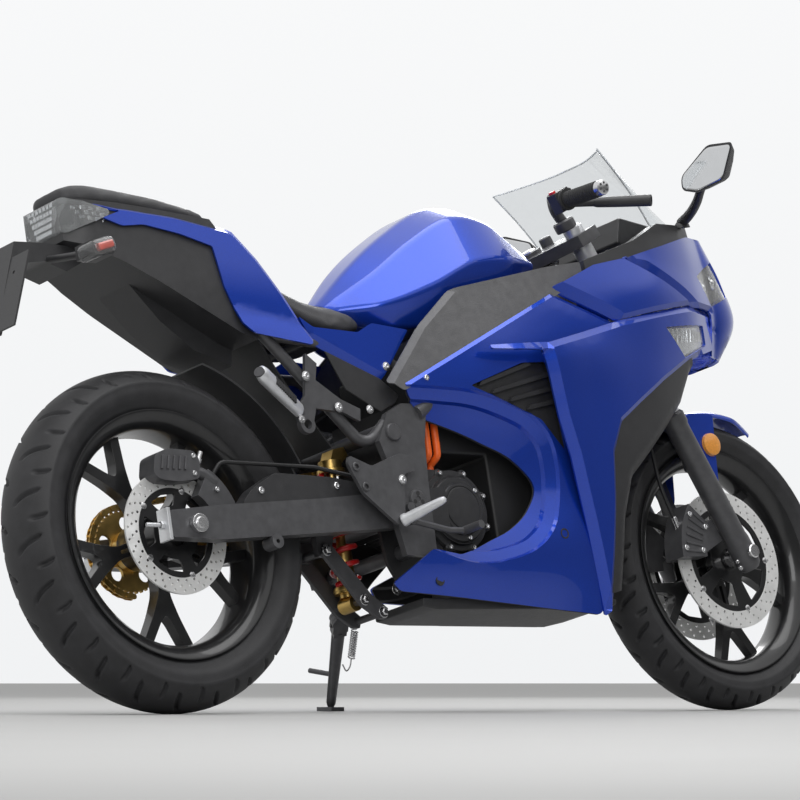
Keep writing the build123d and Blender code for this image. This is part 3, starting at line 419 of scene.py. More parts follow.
def panel(outline, width, holes=(), lines=(), thick=4.0, step=11, corner=7, meet=None):
    """Curved panel over a side outline; where meet holds it runs on across the middle to its twin."""
    loops = [dense(rounded(path, corner), step) for path in [outline] + list(holes)]
    flat, faces = fill(loops, [dense(line, step, False) for line in lines], step)
    x, z = flat[:, 0], flat[:, 1]
    y = width(x, z)
    dx = (width(x + 1, z) - width(x - 1, z)) / 2
    dz = (width(x, z + 1) - width(x, z - 1)) / 2
    size = np.sqrt(1 + np.minimum(dx * dx + dz * dz, 2))
    dx, dz = np.clip(dx, -1.4, 1.4), np.clip(dz, -1.4, 1.4)
    outer = np.stack([x, -y, z], 1)
    inner = np.stack([x + dx / size * thick, -y + thick / size, z + dz / size * thick], 1)
    n = len(flat)
    heap = Heap()
    walls = [(a, b) for a, b in rims(faces) if not (meet and meet(*flat[a]) and meet(*flat[b]))]
    heap.add(np.concatenate([outer, inner]).tolist(),
             [tuple(f) for f in faces] + [tuple(i + n for i in reversed(f)) for f in faces]
             + [(b, a, a + n, b + n) for a, b in walls])
    if meet:
        joins = [(a, b) for a, b in rims(faces) if meet(*flat[a]) and meet(*flat[b])]
        heap.twin()
        heap.faces += [(b, a, a + 2 * n, b + 2 * n) for a, b in joins]
        heap.faces += [(a + n, b + n, b + 3 * n, a + 3 * n) for a, b in joins]
    return heap


def pipe(points, radius, bends=6, count=14, end_radius=None):
    """Round bar along a smooth path through points."""
    pts = [Vector(p) for p in points]
    run = np.cumsum([0] + [(b - a).length for a, b in zip(pts, pts[1:])])
    at = np.linspace(0, run[-1], bends * (len(pts) - 1) + 1)
    path = [Vector(p) for p in np.stack([hermite(run, [p[k] for p in pts], at) for k in range(3)], 1)]
    verts = []
    across = (path[1] - path[0]).orthogonal().normalized()
    for i, p in enumerate(path):
        run_on = (path[min(i + 1, len(path) - 1)] - path[max(i - 1, 0)]).normalized()
        across = (across - run_on * across.dot(run_on)).normalized()
        other = run_on.cross(across)
        size = radius + (end_radius - radius) * i / (len(path) - 1) if end_radius else radius
        for k in range(count):
            a = 2 * pi * k / count
            verts.append(p + (across * cos(a) + other * sin(a)) * size)
    faces = []
    for i in range(len(path) - 1):
        for k in range(count):
            j = (k + 1) % count
            faces.append((i * count + k, i * count + j, (i + 1) * count + j, (i + 1) * count + k))
    faces.append(tuple(reversed(range(count))))
    faces.append(tuple((len(path) - 1) * count + k for k in range(count)))
    return verts, faces


def block(size, place):
    """Box about a place."""
    a, b, c = (s / 2 for s in size)
    verts = [(x, y, z) for x in (-a, a) for y in (-b, b) for z in (-c, c)]
    faces = [(0, 1, 3, 2), (4, 6, 7, 5), (0, 4, 5, 1), (2, 3, 7, 6), (0, 2, 6, 4), (1, 5, 7, 3)]
    return [place @ Vector(v) for v in verts], faces


def bolt(heap, spot, axis, radius, height=4.0):
    """Round bolt head with a six-sided socket."""
    r, h = radius, height
    heap.add(*spin([(0, 0), (r, 0), (r, h * 0.7), (r * 0.8, h), (r * 0.52, h)], spot, axis, 18))
    heap.add(*spin([(r * 0.52, h), (r * 0.48, h * 0.35), (0, h * 0.35)], spot, axis, 18))


RIGHT = (0, -1, 0)
LEFT = (0, 1, 0)

# Seats: closed forms blown up a little as cloth over foam, then sewn
PAD_VOXEL = 0.006
PAD_FRAMES = 20
PAD_RISE = 0.006
SEAM_DEPTH = 2.4
SEAM_HALF = 2.6


def cushion(node, rows, pressure, seams=()):
    """Padded piece through rows of (x, low z, high z, half width); its underside is held while it swells."""
    n = 28
    verts = []
    for x, low, high, half in rows:
        for i in range(n):
            a = 2 * pi * i / n
            y = half * np.sign(cos(a)) * abs(cos(a)) ** 0.45
            z = (low + high) / 2 + (high - low) / 2 * np.sign(sin(a)) * abs(sin(a)) ** 0.55
            verts.append((x, float(y), float(z)))
    last = len(rows) - 1
    faces = [(i * n + k, i * n + (k + 1) % n, (i + 1) * n + (k + 1) % n, (i + 1) * n + k)
             for i in range(last) for k in range(n)]
    faces += [tuple(range(n)), tuple(last * n + k for k in range(n))]
    obj = solid(node + "_drawn", Heap().add(verts, faces), VINYL, "chassis", [node])
    obj.modifiers.clear()
    bpy.context.view_layer.objects.active = obj
    remesh = obj.modifiers.new("remesh", "REMESH")
    remesh.mode = "VOXEL"
    remesh.voxel_size = PAD_VOXEL
    ease = obj.modifiers.new("ease", "SMOOTH")
    ease.factor = 0.5
    ease.iterations = 6
    bpy.ops.object.modifier_apply(modifier="remesh")
    bpy.ops.object.modifier_apply(modifier="ease")
    mesh = obj.data
    upright = PARK.inverted()
    held = obj.vertex_groups.new(name="held")
    rest = [v.co.copy() for v in mesh.vertices]
    spots = [upright @ co for co in rest]
    stations = [row[0] for row in rows]
    for i, p in enumerate(spots):
        low = np.interp(p.x, stations, [row[1] for row in rows])
        high = np.interp(p.x, stations, [row[2] for row in rows])
        if p.z < low + 0.3 * (high - low):
            held.add([i], 1.0, "REPLACE")
    cloth = obj.modifiers.new("cloth", "CLOTH")
    cloth.settings.quality = 2
    cloth.settings.mass = 0.4
    cloth.settings.tension_stiffness = 18
    cloth.settings.compression_stiffness = 18
    cloth.settings.bending_stiffness = 0.6
    cloth.settings.use_pressure = True
    cloth.settings.uniform_pressure_force = pressure
    cloth.settings.vertex_group_mass = "held"
    cloth.settings.effector_weights.gravity = 0
    cloth.point_cache.frame_start = 1
    cloth.point_cache.frame_end = PAD_FRAMES
    for number in range(1, PAD_FRAMES + 1):
        bpy.context.scene.frame_set(number)
    shown = obj.evaluated_get(bpy.context.evaluated_depsgraph_get())
    moved = [v.co.copy() for v in shown.data.vertices]
    obj.modifiers.remove(cloth)
    bpy.context.scene.frame_set(1)
    for v, a, b in zip(mesh.vertices, rest, moved):
        way = b - a
        v.co = a + way * min(1, PAD_RISE / max(way.length, 1e-9))
    smooth = obj.modifiers.new("smooth", "SMOOTH")
    smooth.factor = 0.5
    smooth.iterations = 3
    finer = obj.modifiers.new("finer", "SUBSURF")
    finer.levels = 1
    finer.render_levels = 1
    bpy.ops.object.modifier_apply(modifier="smooth")
    bpy.ops.object.modifier_apply(modifier="finer")
    for v in mesh.vertices:
        p = upright @ v.co
        dip = sum(SEAM_DEPTH * np.exp(-((p.x - at + 0.25 * (p.z - 900)) / SEAM_HALF) ** 2) for at in seams)
        v.co -= v.normal * float(dip) * 0.001
    mesh.shade_smooth()
    return obj


RIDER = [
    # x, low z, high z, half width
    (226, 790, 822, 88), (243, 768, 812, 100), (270, 744, 792, 107), (300, 720, 772, 110),
    (340, 700, 757, 112),
    (380, 688, 748, 113), (420, 686, 744, 111), (450, 692, 739, 105), (475, 702, 731, 92),
    (492, 711, 722, 70),
]
PILLION = [
    (-150, 926, 946, 26), (-142, 920, 952, 46), (-125, 916, 956, 60), (-100, 912, 956, 70),
    (-40, 906, 948, 80),
    (40, 896, 936, 89), (110, 888, 921, 93), (138, 886, 912, 92), (148, 890, 904, 84),
]
cushion("rider_seat", RIDER, 4)
cushion("pillion_seat", PILLION, 4, (112,))


# Wheels
def tyre(node, centre, radius, width, bead, pitch, columns, body):
    """Tyre with slanted grooves cut into its crown and ridges round its walls."""
    half = width / 2 - 0.5
    wall = 218 + 0.62 * (radius - 218)
    rise = radius - wall
    crown = (half * half + rise * rise) / (2 * rise)
    top = asin(half / crown)
    mid = (229 + wall) / 2
    low = [(218.4, bead), (224, bead), (230, bead + 0.5), (mid, half - 3), (wall - 4, half - 0.6)]
    knots = np.linspace(0, 1, len(low))
    at = np.linspace(0, 1, 22)
    flank_r = hermite(knots, [r for r, _ in low], at)
    flank_y = hermite(knots, [y for _, y in low], at)
    for line in (234, 247):
        flank_y = flank_y + 0.9 * np.exp(-((flank_r - line) / 1.2) ** 2)
    angles = np.linspace(-top, top, 49)
    rr = np.concatenate([flank_r, radius - crown + crown * np.cos(angles), flank_r[::-1]])
    yy = np.concatenate([-flank_y, crown * np.sin(angles), flank_y[::-1]])
    share = np.concatenate([np.full(22, -9.0), angles / top, np.full(22, 9.0)])
    turn = np.linspace(0, 2 * pi, columns, endpoint=False)
    grid_a, grid_t = np.meshgrid(share, turn)
    off = np.abs(grid_a)
    depth = np.zeros_like(grid_a)
    for hand, start, end, sweep, phase in ((1, 0.10, 0.80, 0.20, 0.0), (-1, 0.10, 0.80, 0.20, 0.5),
                                           (1, 0.50, 0.97, 0.13, 0.45), (-1, 0.50, 0.97, 0.13, 0.95)):
        bend = sweep * (off ** 1.5) + 0.03 * np.sin(off * 5)
        step = 2 * pi / pitch
        d = (grid_t + bend - phase * step + step / 2) % step - step / 2
        taper = np.clip(np.minimum(off - start, end - off) / 0.10, 0, 1)
        gap = np.clip(1.7 - np.abs(d) * radius / (3.2 * np.maximum(taper, 0.2)), 0, 1)
        depth = np.maximum(depth, np.where((grid_a * hand > start) & (grid_a * hand < end), gap * taper, 0))
    r = rr[None, :] - 6.5 * depth
    x = centre[0] + r * np.cos(grid_t)
    z = centre[1] + r * np.sin(grid_t)
    y = np.broadcast_to(yy[None, :], x.shape)
    rows = len(rr)
    verts = np.stack([x, y, z], -1).reshape(-1, 3).tolist()
    faces = []
    for i in range(columns):
        a, b = i * rows, (i + 1) % columns * rows
        faces += [(a + k, a + k + 1, b + k + 1, b + k) for k in range(rows - 1)]
        faces.append((a + rows - 1, a, b, b + rows - 1))
    solid(node + "_drawn", Heap().add(verts, faces), RUBBER, body, [node], sharp=60)


tyre("rear_tyre", REAR, 312, 140, 49.7, 22, 840, "rear_wheel")
tyre("front_tyre", FRONT, 293, 110, 36.7, 26, 800, "front_wheel")

SPOKE = [(30, -15), (96, -11), (138, -28), (196, -59), (208, -44), (150, -12), (136, 0), (150, 12),
         (208, 44), (196, 59), (138, 28), (96, 11), (30, 15)]


def rim(node, centre, bead, hub_r, hub_half, spoke_half, turn, body):
    """Cast wheel: rolled rim, five forked spokes with a slot, turned hub."""
    at = Matrix.Translation((centre[0], 0, centre[1]))
    heap = Heap()
    lip = [(229, bead + 7), (227, bead + 1.5), (219, bead), (218, bead - 6), (205, bead - 22), (203, 0),
           (205, 22 - bead), (218, 6 - bead), (219, -bead), (227, -bead - 1.5), (229, -bead - 7),
           (224, -bead - 7), (212, -bead - 1), (202, 8 - bead), (197, 20 - bead), (196, 0), (197, bead - 20),
           (202, bead - 8), (212, bead + 1), (224, bead + 7)]
    heap.add(*ring(lip, (centre[0], 0, centre[1]), LEFT, 120))
    hub = [(10.1, -hub_half), (hub_r - 3, -hub_half), (hub_r, 3 - hub_half), (hub_r, -26), (hub_r - 8, -16),
           (hub_r - 8, 16), (hub_r, 26), (hub_r, hub_half - 3), (hub_r - 3, hub_half), (10.1, hub_half)]
    heap.add(*ring(hub, (centre[0], 0, centre[1]), LEFT, 64))
    solid(node + "_drawn", heap, CAST, body, [node], 0.8, 35)
    spokes = Heap()
    for i in range(5):
        place = at @ Matrix.Rotation(radians(turn + 72 * i), 4, "Y")
        verts, faces = slab([dense(rounded(SPOKE, 14), 16),
                             rounded([(44, -4), (92, -3.5), (92, 3.5), (44, 4)], 3)],
                            -spoke_half, spoke_half)
        shaped = [Vector((v.x, v.y * (1.08 - 0.0016 * v.xz.length), v.z)) for v in verts]
        spokes.add([place @ v for v in shaped], faces)
    solid(node + "_spokes", spokes, CAST, body, (), 3.0, 40)


rim("rear_rim", REAR, 50, 42, 60, 15, 20, "rear_wheel")
rim("front_rim", FRONT, 37, 36, 50, 13, 8, "front_wheel")


def disc(node, centre, radius, inner, hub_r, offsets, arms, body):
    """Drilled steel ring riveted to a dark carrier."""
    ring_heap, carrier, rivets = Heap(), Heap(), Heap()
    holes = []
    for row, share in enumerate((0.2, 0.5, 0.8)):
        r = inner + (radius - inner) * share
        for k in range(30):
            a = 2 * pi * (k + row / 3) / 30
            holes.append(circle((centre[0] + r * cos(a), centre[1] + r * sin(a)), 2.7, 8))
    outer_r = inner + 5
    windows = []
    for k in range(arms):
        middle = 2 * pi * (k + 0.5) / arms
        low, high = hub_r + 26, outer_r - 15
        corners = [(low, -0.36), (low, 0), (low, 0.36), (high, 0.42), (high, 0), (high, -0.42)]
        windows.append(rounded([(centre[0] + r * cos(middle + da), centre[1] + r * sin(middle + da))
                                for r, da in corners], 5))
    for mid in offsets:
        ring_heap.add(*slab([circle(centre, radius, 96), circle(centre, inner, 96)] + holes, mid - 2.2,
                            mid + 2.2))
        carrier.add(*slab([circle(centre, outer_r, 90), circle(centre, hub_r, 40)] + windows, mid - 2,
                          mid + 2))
        for k in range(arms):
            a = 2 * pi * k / arms
            spot = (centre[0] + (inner - 2) * cos(a), -mid, centre[1] + (inner - 2) * sin(a))
            for axis in (LEFT, RIGHT):
                rivets.add(*spin([(0, 3.6), (3, 3.6), (5, 3.2), (6.4, 2.6), (6.4, 0)], spot, axis, 20))
    solid(node + "_ring", ring_heap, DISC, body, [node], 0.35, 40)
    solid(node + "_carrier", carrier, CAST, body, (), 0.5, 40)
    solid(node + "_rivets", rivets, STEEL, body)


disc("rear_disc", REAR, 112, 82, 24, (62.55,), 5, "rear_wheel")
disc("front_discs", FRONT, 140, 106, 22, (52.55, -52.55), 5, "front_wheel")

# Sprocket and chain on the left
teeth = []
for k in range(41):
    for part, r in ((0.0, 73.5), (0.28, 74.5), (0.42, 77.2), (0.58, 77.2), (0.72, 74.5)):
        a = 2 * pi * (k + part) / 41
        teeth.append((r * cos(a), 312 + r * sin(a)))
slots = [circle((52 * cos(2 * pi * k / 5 + 0.3), 312 + 52 * sin(2 * pi * k / 5 + 0.3)), 13,
                28) for k in range(5)]
nut_ring = [(31 * cos(2 * pi * k / 5 + 0.93), 312 + 31 * sin(2 * pi * k / 5 + 0.93)) for k in range(5)]
gear = Heap().add(*slab([teeth, circle(REAR, 24, 40)] + slots, -84, -77))
gear.add(*ring([(24.2, 60.4), (38, 60.4), (38, 76.6), (24.2, 76.6)], (0, 0, 312), LEFT, 48))
solid("rear_sprocket_drawn", gear, GOLD, "rear_wheel", ["rear_sprocket"], 0.6)
nuts = Heap()
for x, z in nut_ring:
    nuts.add(*spin([(0, 6), (4.5, 6), (6.5, 4.5), (6.5, 0)], (x, 84, z), LEFT, 6))
solid("sprocket_nuts", nuts, STEEL, "rear_wheel")

BIG, SMALL = 83, 29
span = sqrt(640 ** 2 + 48 ** 2)
slope = atan2(48, 640)
spread = asin((BIG - SMALL) / span)
straight = span * cos(spread)
lengths = [straight, SMALL * (pi - 2 * spread), straight, BIG * (pi + 2 * spread)]


def chain_at(s):
    """Point on the chain's pitch line and its direction, from the top run forward."""
    up = pi / 2 + slope + spread
    if s < lengths[0]:
        p = Vector((0, 0, 312)) + Vector((cos(up), 0, sin(up))) * BIG
        d = Vector((sin(up), 0, -cos(up)))
        return p + d * s, d
    s -= lengths[0]
    if s < lengths[1]:
        a = up - s / SMALL
        return (Vector((640, 0, 360)) + Vector((cos(a), 0, sin(a))) * SMALL, Vector((sin(a), 0, -cos(a))))
    s -= lengths[1]
    down = slope - pi / 2 - spread
    if s < lengths[2]:
        p = Vector((640, 0, 360)) + Vector((cos(down), 0, sin(down))) * SMALL
        d = Vector((sin(down), 0, -cos(down)))
        return p + d * s, d
    s -= lengths[2]
    a = down - s / BIG
    return (Vector((0, 0, 312)) + Vector((cos(a), 0, sin(a))) * BIG, Vector((sin(a), 0, -cos(a))))


LINKS = 126
pitch = sum(lengths) / LINKS
LINK = [(5.4 * cos(a) + x, 5.4 * sin(a)) for x, a0 in ((pitch / 2, -pi / 2), (-pitch / 2, pi / 2))
        for a in (a0 + pi * k / 5 for k in range(6))]
links = Heap()
for k in range(LINKS):
    p, _ = chain_at((k + 0.0) * pitch)
    q, _ = chain_at(((k + 1.0) * pitch) % sum(lengths))
    d = (q - p).normalized()
    place = Matrix(((d.x, 0, -d.z, (p.x + q.x) / 2), (0, 1, 0, 80), (d.z, 0, d.x, (p.z + q.z) / 2),
                    (0, 0, 0, 1)))
    near = 4.6 if k % 2 else 3.0
    for low in (near, -near - 1.5):
        links.add(*slab([LINK], low, low + 1.5, place))
    links.add(*spin([(0, -6.4), (2.2, -6.4), (2.2, -3), (4.0, -3), (4.0, 3), (2.2, 3), (2.2, 6.4), (0, 6.4)],
                    (p.x, 80, p.z), LEFT, 10))
solid("drive_chain_drawn", links, GOLD, "chassis", ["drive_chain"])

# Fairing: half widths at fixed heights for each station x
MID_Z = (140, 270, 400, 500, 585, 650, 730, 860)
MID = [
    (420, (112, 148, 150, 150, 152, 154, 156, 156)),
    (560, (126, 164, 164, 162, 168, 170, 170, 168)),
    (700, (134, 168, 162, 168, 183, 184, 180, 175)),
    (820, (138, 170, 168, 178, 190, 192, 190, 184)),
    (940, (144, 168, 176, 184, 193, 196, 196, 188)),
    (1070, (130, 160, 174, 184, 193, 198, 198, 190)),
]
WING_Z = (140, 300, 450, 560, 650, 740, 830)
WING = [
    (680, (150, 178, 196, 207, 214, 206, 196)),
    (815, (152, 184, 210, 226, 235, 215, 200)),
    (940, (162, 190, 208, 218, 226, 214, 203)),
    (1050, (160, 186, 201, 207, 212, 210, 202)),
    (1175, (130, 160, 178, 185, 190, 195, 192)),
    (1295, (90, 115, 132, 142, 150, 160, 165)),
    (1410, (30, 50, 70, 82, 90, 98, 104)),
]
NOSE_X = (880, 1060, 1200, 1330, 1430)
NOSE = [
    (690, (200, 207, 186, 136, 76), 1462),
    (794, (196, 205, 192, 150, 98), 1543),
    (870, (190, 194, 180, 140, 92), 1522),
    (985, (184, 184, 168, 126, 72), 1462),
]
TAIL_Z = (600, 760, 940)
TAIL = [
    (-240, (24, 28, 24)),
    (-160, (50, 56, 50)),
    (-130, (78, 84, 80)),
    (-60, (97, 104, 98)),
    (0, (104, 112, 104)),
    (170, (118, 124, 114)),
    (340, (134, 136, 124)),
]
mid_side = side(MID, MID_Z)
wing_side = side(WING, WING_Z)
tail_side = side(TAIL, TAIL_Z)

# Ridge round the motor window, below and inside which the middle panel folds in
HOLLOW = flow([(512, 583), (590, 580), (665, 574), (740, 556), (806, 528), (843, 488), (855, 432), (848, 370),
               (824, 316), (773, 274), (714, 254), (622, 245), (514, 270)])
HOLLOW_ROOM = HOLLOW + [(300, 270), (300, 583)]
FOLD = ((0, 4, 24, 28, 120), (0, 6, 13, 20, 40))
ARM_TOP = [(508, 587), (700, 683), (888, 776), (1040, 724)]


def mid_width(x, z):
    """Middle panel: base body, folded in round the motor window and along its upper edge."""
    fold = np.interp(reach(HOLLOW, x, z), *FOLD)
    edge = np.interp(reach(ARM_TOP, x, z), (0, 9), (6, 0))
    return mid_side(x, z) - np.where(within([HOLLOW_ROOM], x, z), fold, 0) - edge


WINDOW = flow([(589, 262), (628, 273), (676, 292), (738, 318), (788, 356), (811, 398), (779, 446), (694, 486),
               (558, 526)])
MID_SIDE = [(508, 587), (700, 683), (888, 776), (1040, 724), (1000, 640), (960, 400), (946, 170), (930, 154),
            (673, 176), (448, 196), (432, 210), (522, 272)] + WINDOW + [(521, 563)]
MID_LEFT = MID_SIDE[:5] + [(968, 450), (952, 231), (640, 245), (625, 271)] + WINDOW[6:] + [(521, 563)]
VENT = [(655, 583), (785, 631), (845, 635), (865, 541), (877, 463), (822, 523), (763, 546)]
ridges = [HOLLOW, aside(HOLLOW, -4), aside(HOLLOW, -24), aside(HOLLOW, -28), aside(ARM_TOP, -9)]
right = panel(MID_SIDE, mid_width, [VENT], ridges)
solid("mid_fairing_right_drawn", right, PAINT, nodes=["mid_fairing_right"], bevel=1.3, angle=22, sharp=32)
left = panel(MID_LEFT, mid_width, [VENT], ridges).flip()
solid("mid_fairing_left_drawn", left, PAINT, nodes=["mid_fairing_left"], bevel=1.3, angle=22, sharp=32)

WING_SIDE = [(692, 656), (692, 648), (816, 644), (845, 520), (870, 450), (900, 325), (931, 190), (940, 150),
             (952, 160), (978, 367), (985, 460), (1015, 519), (1086, 564), (1166, 612), (1277, 669),
             (1330, 690),
             (1409, 716), (1409, 796), (1293, 784), (1175, 757), (1046, 726), (930, 692), (830, 664)]
WING_REAR = WING_SIDE[2:8]
WING_TOP = [(692, 656), (830, 664), (930, 692), (1046, 726), (1175, 757), (1293, 784), (1409, 796)]
WING_FRONT = WING_SIDE[8:16]
LENS_HOLE = [(1186, 724), (1358, 755), (1366, 717), (1253, 670)]


def wing_width(x, z):
    """Wing panel: base body with its rear, upper and front edges folded in."""
    rear = np.interp(reach(WING_REAR, x, z), (0, 15), (15, 0))
    top = np.interp(reach(WING_TOP, x, z), (0, 13), (9, 0))
    front = np.interp(reach(WING_FRONT, x, z), (0, 13), (8, 0))
    return wing_side(x, z) - np.maximum(np.maximum(rear, top), front)


wing_lines = [aside(WING_REAR, 15), aside(WING_TOP, -13), aside(WING_FRONT, 13)]
right = panel(WING_SIDE, wing_width, [LENS_HOLE], wing_lines, corner=4)
solid("side_wing_right_drawn", right, PAINT, nodes=["side_wing_right"], bevel=1.2, angle=22, sharp=32)
WING_LEFT = WING_SIDE[:6] + [(922, 231), (959, 231)] + WING_SIDE[9:]
left = panel(WING_LEFT, wing_width, [LENS_HOLE], wing_lines, corner=4).flip()
solid("side_wing_left_drawn", left, PAINT, nodes=["side_wing_left"], bevel=1.2, angle=22, sharp=32)


# Nose
def tip(z):
    """Foremost x of the nose at a height."""
    return hermite([row[0] for row in NOSE], [row[2] for row in NOSE], np.atleast_1d(np.asarray(z, float)))


def nose_side(x, z):
    """Half width of the nose, falling to its blunt front."""
    levels = [row[0] for row in NOSE]
    rows = [hermite(levels, [row[1][k] for row in NOSE], z) for k in range(5)]
    end = tip(z)
    share = np.clip((x - 1430) / np.maximum(end - 1430, 1), 0, 1)
    base = hermite(NOSE_X, rows, np.minimum(x, 1430))
    return base * np.sqrt(np.maximum(1 - share ** 1.7, 0)) + 14 * share ** 2


BROW = [(1010, 832), (1106, 856), (1208, 822), (1308, 786), (1385, 770), (1440, 752)]
BROW_TOP = [(1106, 862), (1173, 860), (1286, 820), (1380, 781), (1440, 756)]
BROW_ROOM = BROW[1:] + BROW_TOP[::-1]
NOSE_LOW = [(893, 786), (1046, 727), (1175, 758), (1293, 785), (1410, 797)]


def nose_width(x, z):
    """Nose with a hollow band above its brow line and folded lower edges."""
    away = reach(BROW, x, z)
    span = away + reach(BROW_TOP, x, z)
    dip = 13 * (1 - away / np.maximum(span, 1)) * np.clip(away / 4, 0, 1)
    low = np.interp(reach(NOSE_LOW[:2], x, z), (0, 20), (13, 0))
    low = np.maximum(low, np.interp(reach(NOSE_LOW[1:], x, z), (0, 9), (6, 0)))
    return nose_side(x, z) - np.where(within([BROW_ROOM], x, z), dip, 0) - low


heights = np.linspace(705, 960, 14)
front_edge = [(float(x), float(z)) for x, z in zip(tip(heights), heights)]
NOSE_SIDE = ([(893, 786), (905, 780), (1046, 727), (1175, 758), (1293, 785), (1410, 797),
              (1410, 705)] + front_edge
             + [(1420, 956), (1369, 947), (1236, 902), (1111, 862), (1006, 837)])
LAMP_HOLE = [(1372, 862), (1472, 914), (1517, 846), (1420, 806)]
nose_lines = [BROW[1:-1], aside(BROW, 4)[1:-1], BROW_TOP[1:-1], aside(NOSE_LOW[:2], 20),
              aside(NOSE_LOW[1:], 9)]
heap = panel(NOSE_SIDE, nose_width, [LAMP_HOLE], nose_lines, step=9, corner=2,
             meet=lambda x, z: abs(x - tip(z)[0]) < 0.6 and 705.5 < z < 959.5)
solid("nose_cowl_drawn", heap, PAINT, nodes=["nose_cowl"], bevel=1.2, angle=22, sharp=32)


def inset(width, depth):
    """The same body, further in."""
    return lambda x, z: width(x, z) - depth


KNEE_SIDE = [(478, 590), (508, 572), (700, 669), (885, 762), (985, 812), (985, 846), (895, 830), (804, 809),
             (653, 775), (566, 700)]
KNEE_REAR = [(478, 590), (566, 700), (653, 775)]


def knee_width(x, z):
    """Knee panel just under the middle panel, its rear edge turned in to the side panel."""
    return mid_side(x, z) - 4.6 - np.interp(reach(KNEE_REAR, x, z), (0, 9), (14, 0))


solid("knee_panels_drawn", panel(KNEE_SIDE, knee_width, (), [aside(KNEE_REAR, -9)], thick=3).twin(), GRAINED_SHEEN,
      nodes=["knee_panels"], bevel=1.2, angle=22)
INNER_SIDE = [(950, 190), (990, 200), (1010, 339), (1040, 420), (1123, 488), (1243, 587), (1292, 650),
              (1290, 690), (1150, 622), (1000, 535), (962, 430)]
INNER_LEFT = [(955, 236), (994, 236)] + INNER_SIDE[2:]
INNER_EDGE = INNER_SIDE[1:7]


def inner_width(x, z):
    """Dark panel that turns in towards the wheel at its front edge."""
    return wing_side(x, z) - 5 - np.interp(reach(INNER_EDGE, x, z), (0, 16), (16, 0))


inner = panel(INNER_SIDE, inner_width, thick=3, step=9)
left = panel(INNER_LEFT, inner_width, thick=3, step=9).flip()
inner.add(left.verts, left.faces)
solid("inner_panels_drawn", inner, PLASTIC,
      nodes=["inner_panels"], bevel=1.0, angle=45, sharp=50)

# Vent: dark back plate and four louvres
BACK = [(645, 578), (785, 641), (853, 645), (876, 541), (888, 460), (822, 512), (763, 534)]
vent = panel(BACK, inset(mid_side, 9.5), thick=2)
LOUVRES = [((676, 583), (806, 627)), ((706, 569), (852, 608)), ((748, 555), (858, 581)),
           ((790, 541), (862, 556))]
for (x0, z0), (x1, z1) in LOUVRES:
    bar = [(x0, z0), (x0 + 6, z0 + 9), (x1, z1 + 9), (x1 + 2, z1)]
    part = panel(bar, inset(mid_side, 1.5), thick=7, step=10, corner=4)
    vent.add(part.verts, part.faces)
solid("vent_grilles_drawn", vent.twin(), PLASTIC, nodes=["vent_grilles"], bevel=1.4, angle=40)

# Front signals: clear cover, bright bowl and nine small bars behind it
LENS = [(1178, 725), (1364, 760), (1372, 713), (1251, 664)]
solid("front_signals_drawn", panel(LENS, inset(wing_side, 4.6), thick=2.5, step=8, corner=4).twin(), CLEAR,
      nodes=["front_signals"], bevel=0.6, angle=45)
bowl = panel([(1190, 722), (1354, 752), (1362, 718), (1254, 672)], inset(wing_side, 10.5), thick=1.5, step=8)
for k in range(9):
    x = 1216 + 17 * k
    spot = np.array([x]), np.array([712 + 2.6 * k])
    y = -float(wing_side(*spot)[0]) + 9
    bowl.add(*block((3, 3, 32 - 1.6 * k), Matrix.Translation((x, y, 712 + 2.6 * k))))
solid("front_signal_bowls", bowl.twin(), REFLECT, bevel=0.5, angle=40)

# Headlamps: clear cover over dark bowls with round lenses
LAMP = [(1364, 863), (1474, 922), (1524, 846), (1418, 800)]
solid("headlamps_drawn", panel(LAMP, inset(nose_side, 4.8), thick=2.5, step=9, corner=4).twin(), CLEAR,
      nodes=["headlamps"], bevel=0.6, angle=45)
heap = panel([(1376, 861), (1466, 908), (1506, 848), (1422, 810)], inset(nose_side, 14), thick=1.5, step=9)
solid("headlamp_bowls", heap.twin(), PLASTIC)
lenses = Heap()
for x, z, r in ((1418, 848, 17), (1462, 866, 15)):
    y = -float(nose_side(np.array([x]), np.array([z]))[0]) + 15
    for hand in (1, -1):
        lenses.add(*spin([(0, 9), (r * 0.5, 7.5), (r * 0.85, 4), (r, 0), (r + 3, 0), (r + 3, -3)],
                         (x, hand * y, z), (0.72, -0.68 * hand, 0.1), 28))
solid("headlamp_lenses", lenses, REFLECT)

# Screws and round recesses of the middle panels
screws, dents = Heap(), Heap()
for hand in (1, -1):
    out = (0, -hand, 0)
    for x, z, heap, r in ((556, 596, screws, 5.5), (845, 304, dents, 8), (534, 214, dents, 8),
                          (925, 560, dents, 5)):
        y = float(mid_width(np.array([x]), np.array([z]))[0])
        if heap is screws:
            bolt(heap, (x, -(y - 0.5) * hand, z), out, r, 3.5)
        elif hand == 1:
            heap.add(*spin([(r + 2.5, -1), (r + 2, 0.8), (r, 0.9), (r - 1, -0.4), (0, -0.4)],
                           (x, -y * hand, z), out, 24))
solid("mid_fairing_screws", screws, STEEL)
solid("mid_fairing_recesses", dents, GRIP)


# Dark inner skins of the middle panels
def lining_width(x, z):
    """Inner skin just inside the middle panel."""
    return mid_width(x, z) - 5


linings = panel(MID_SIDE, lining_width, [VENT], ridges, thick=2)
left = panel(MID_LEFT, lining_width, [VENT], ridges, thick=2).flip()
linings.add(left.verts, left.faces)
solid("mid_fairing_linings", linings, PLASTIC)

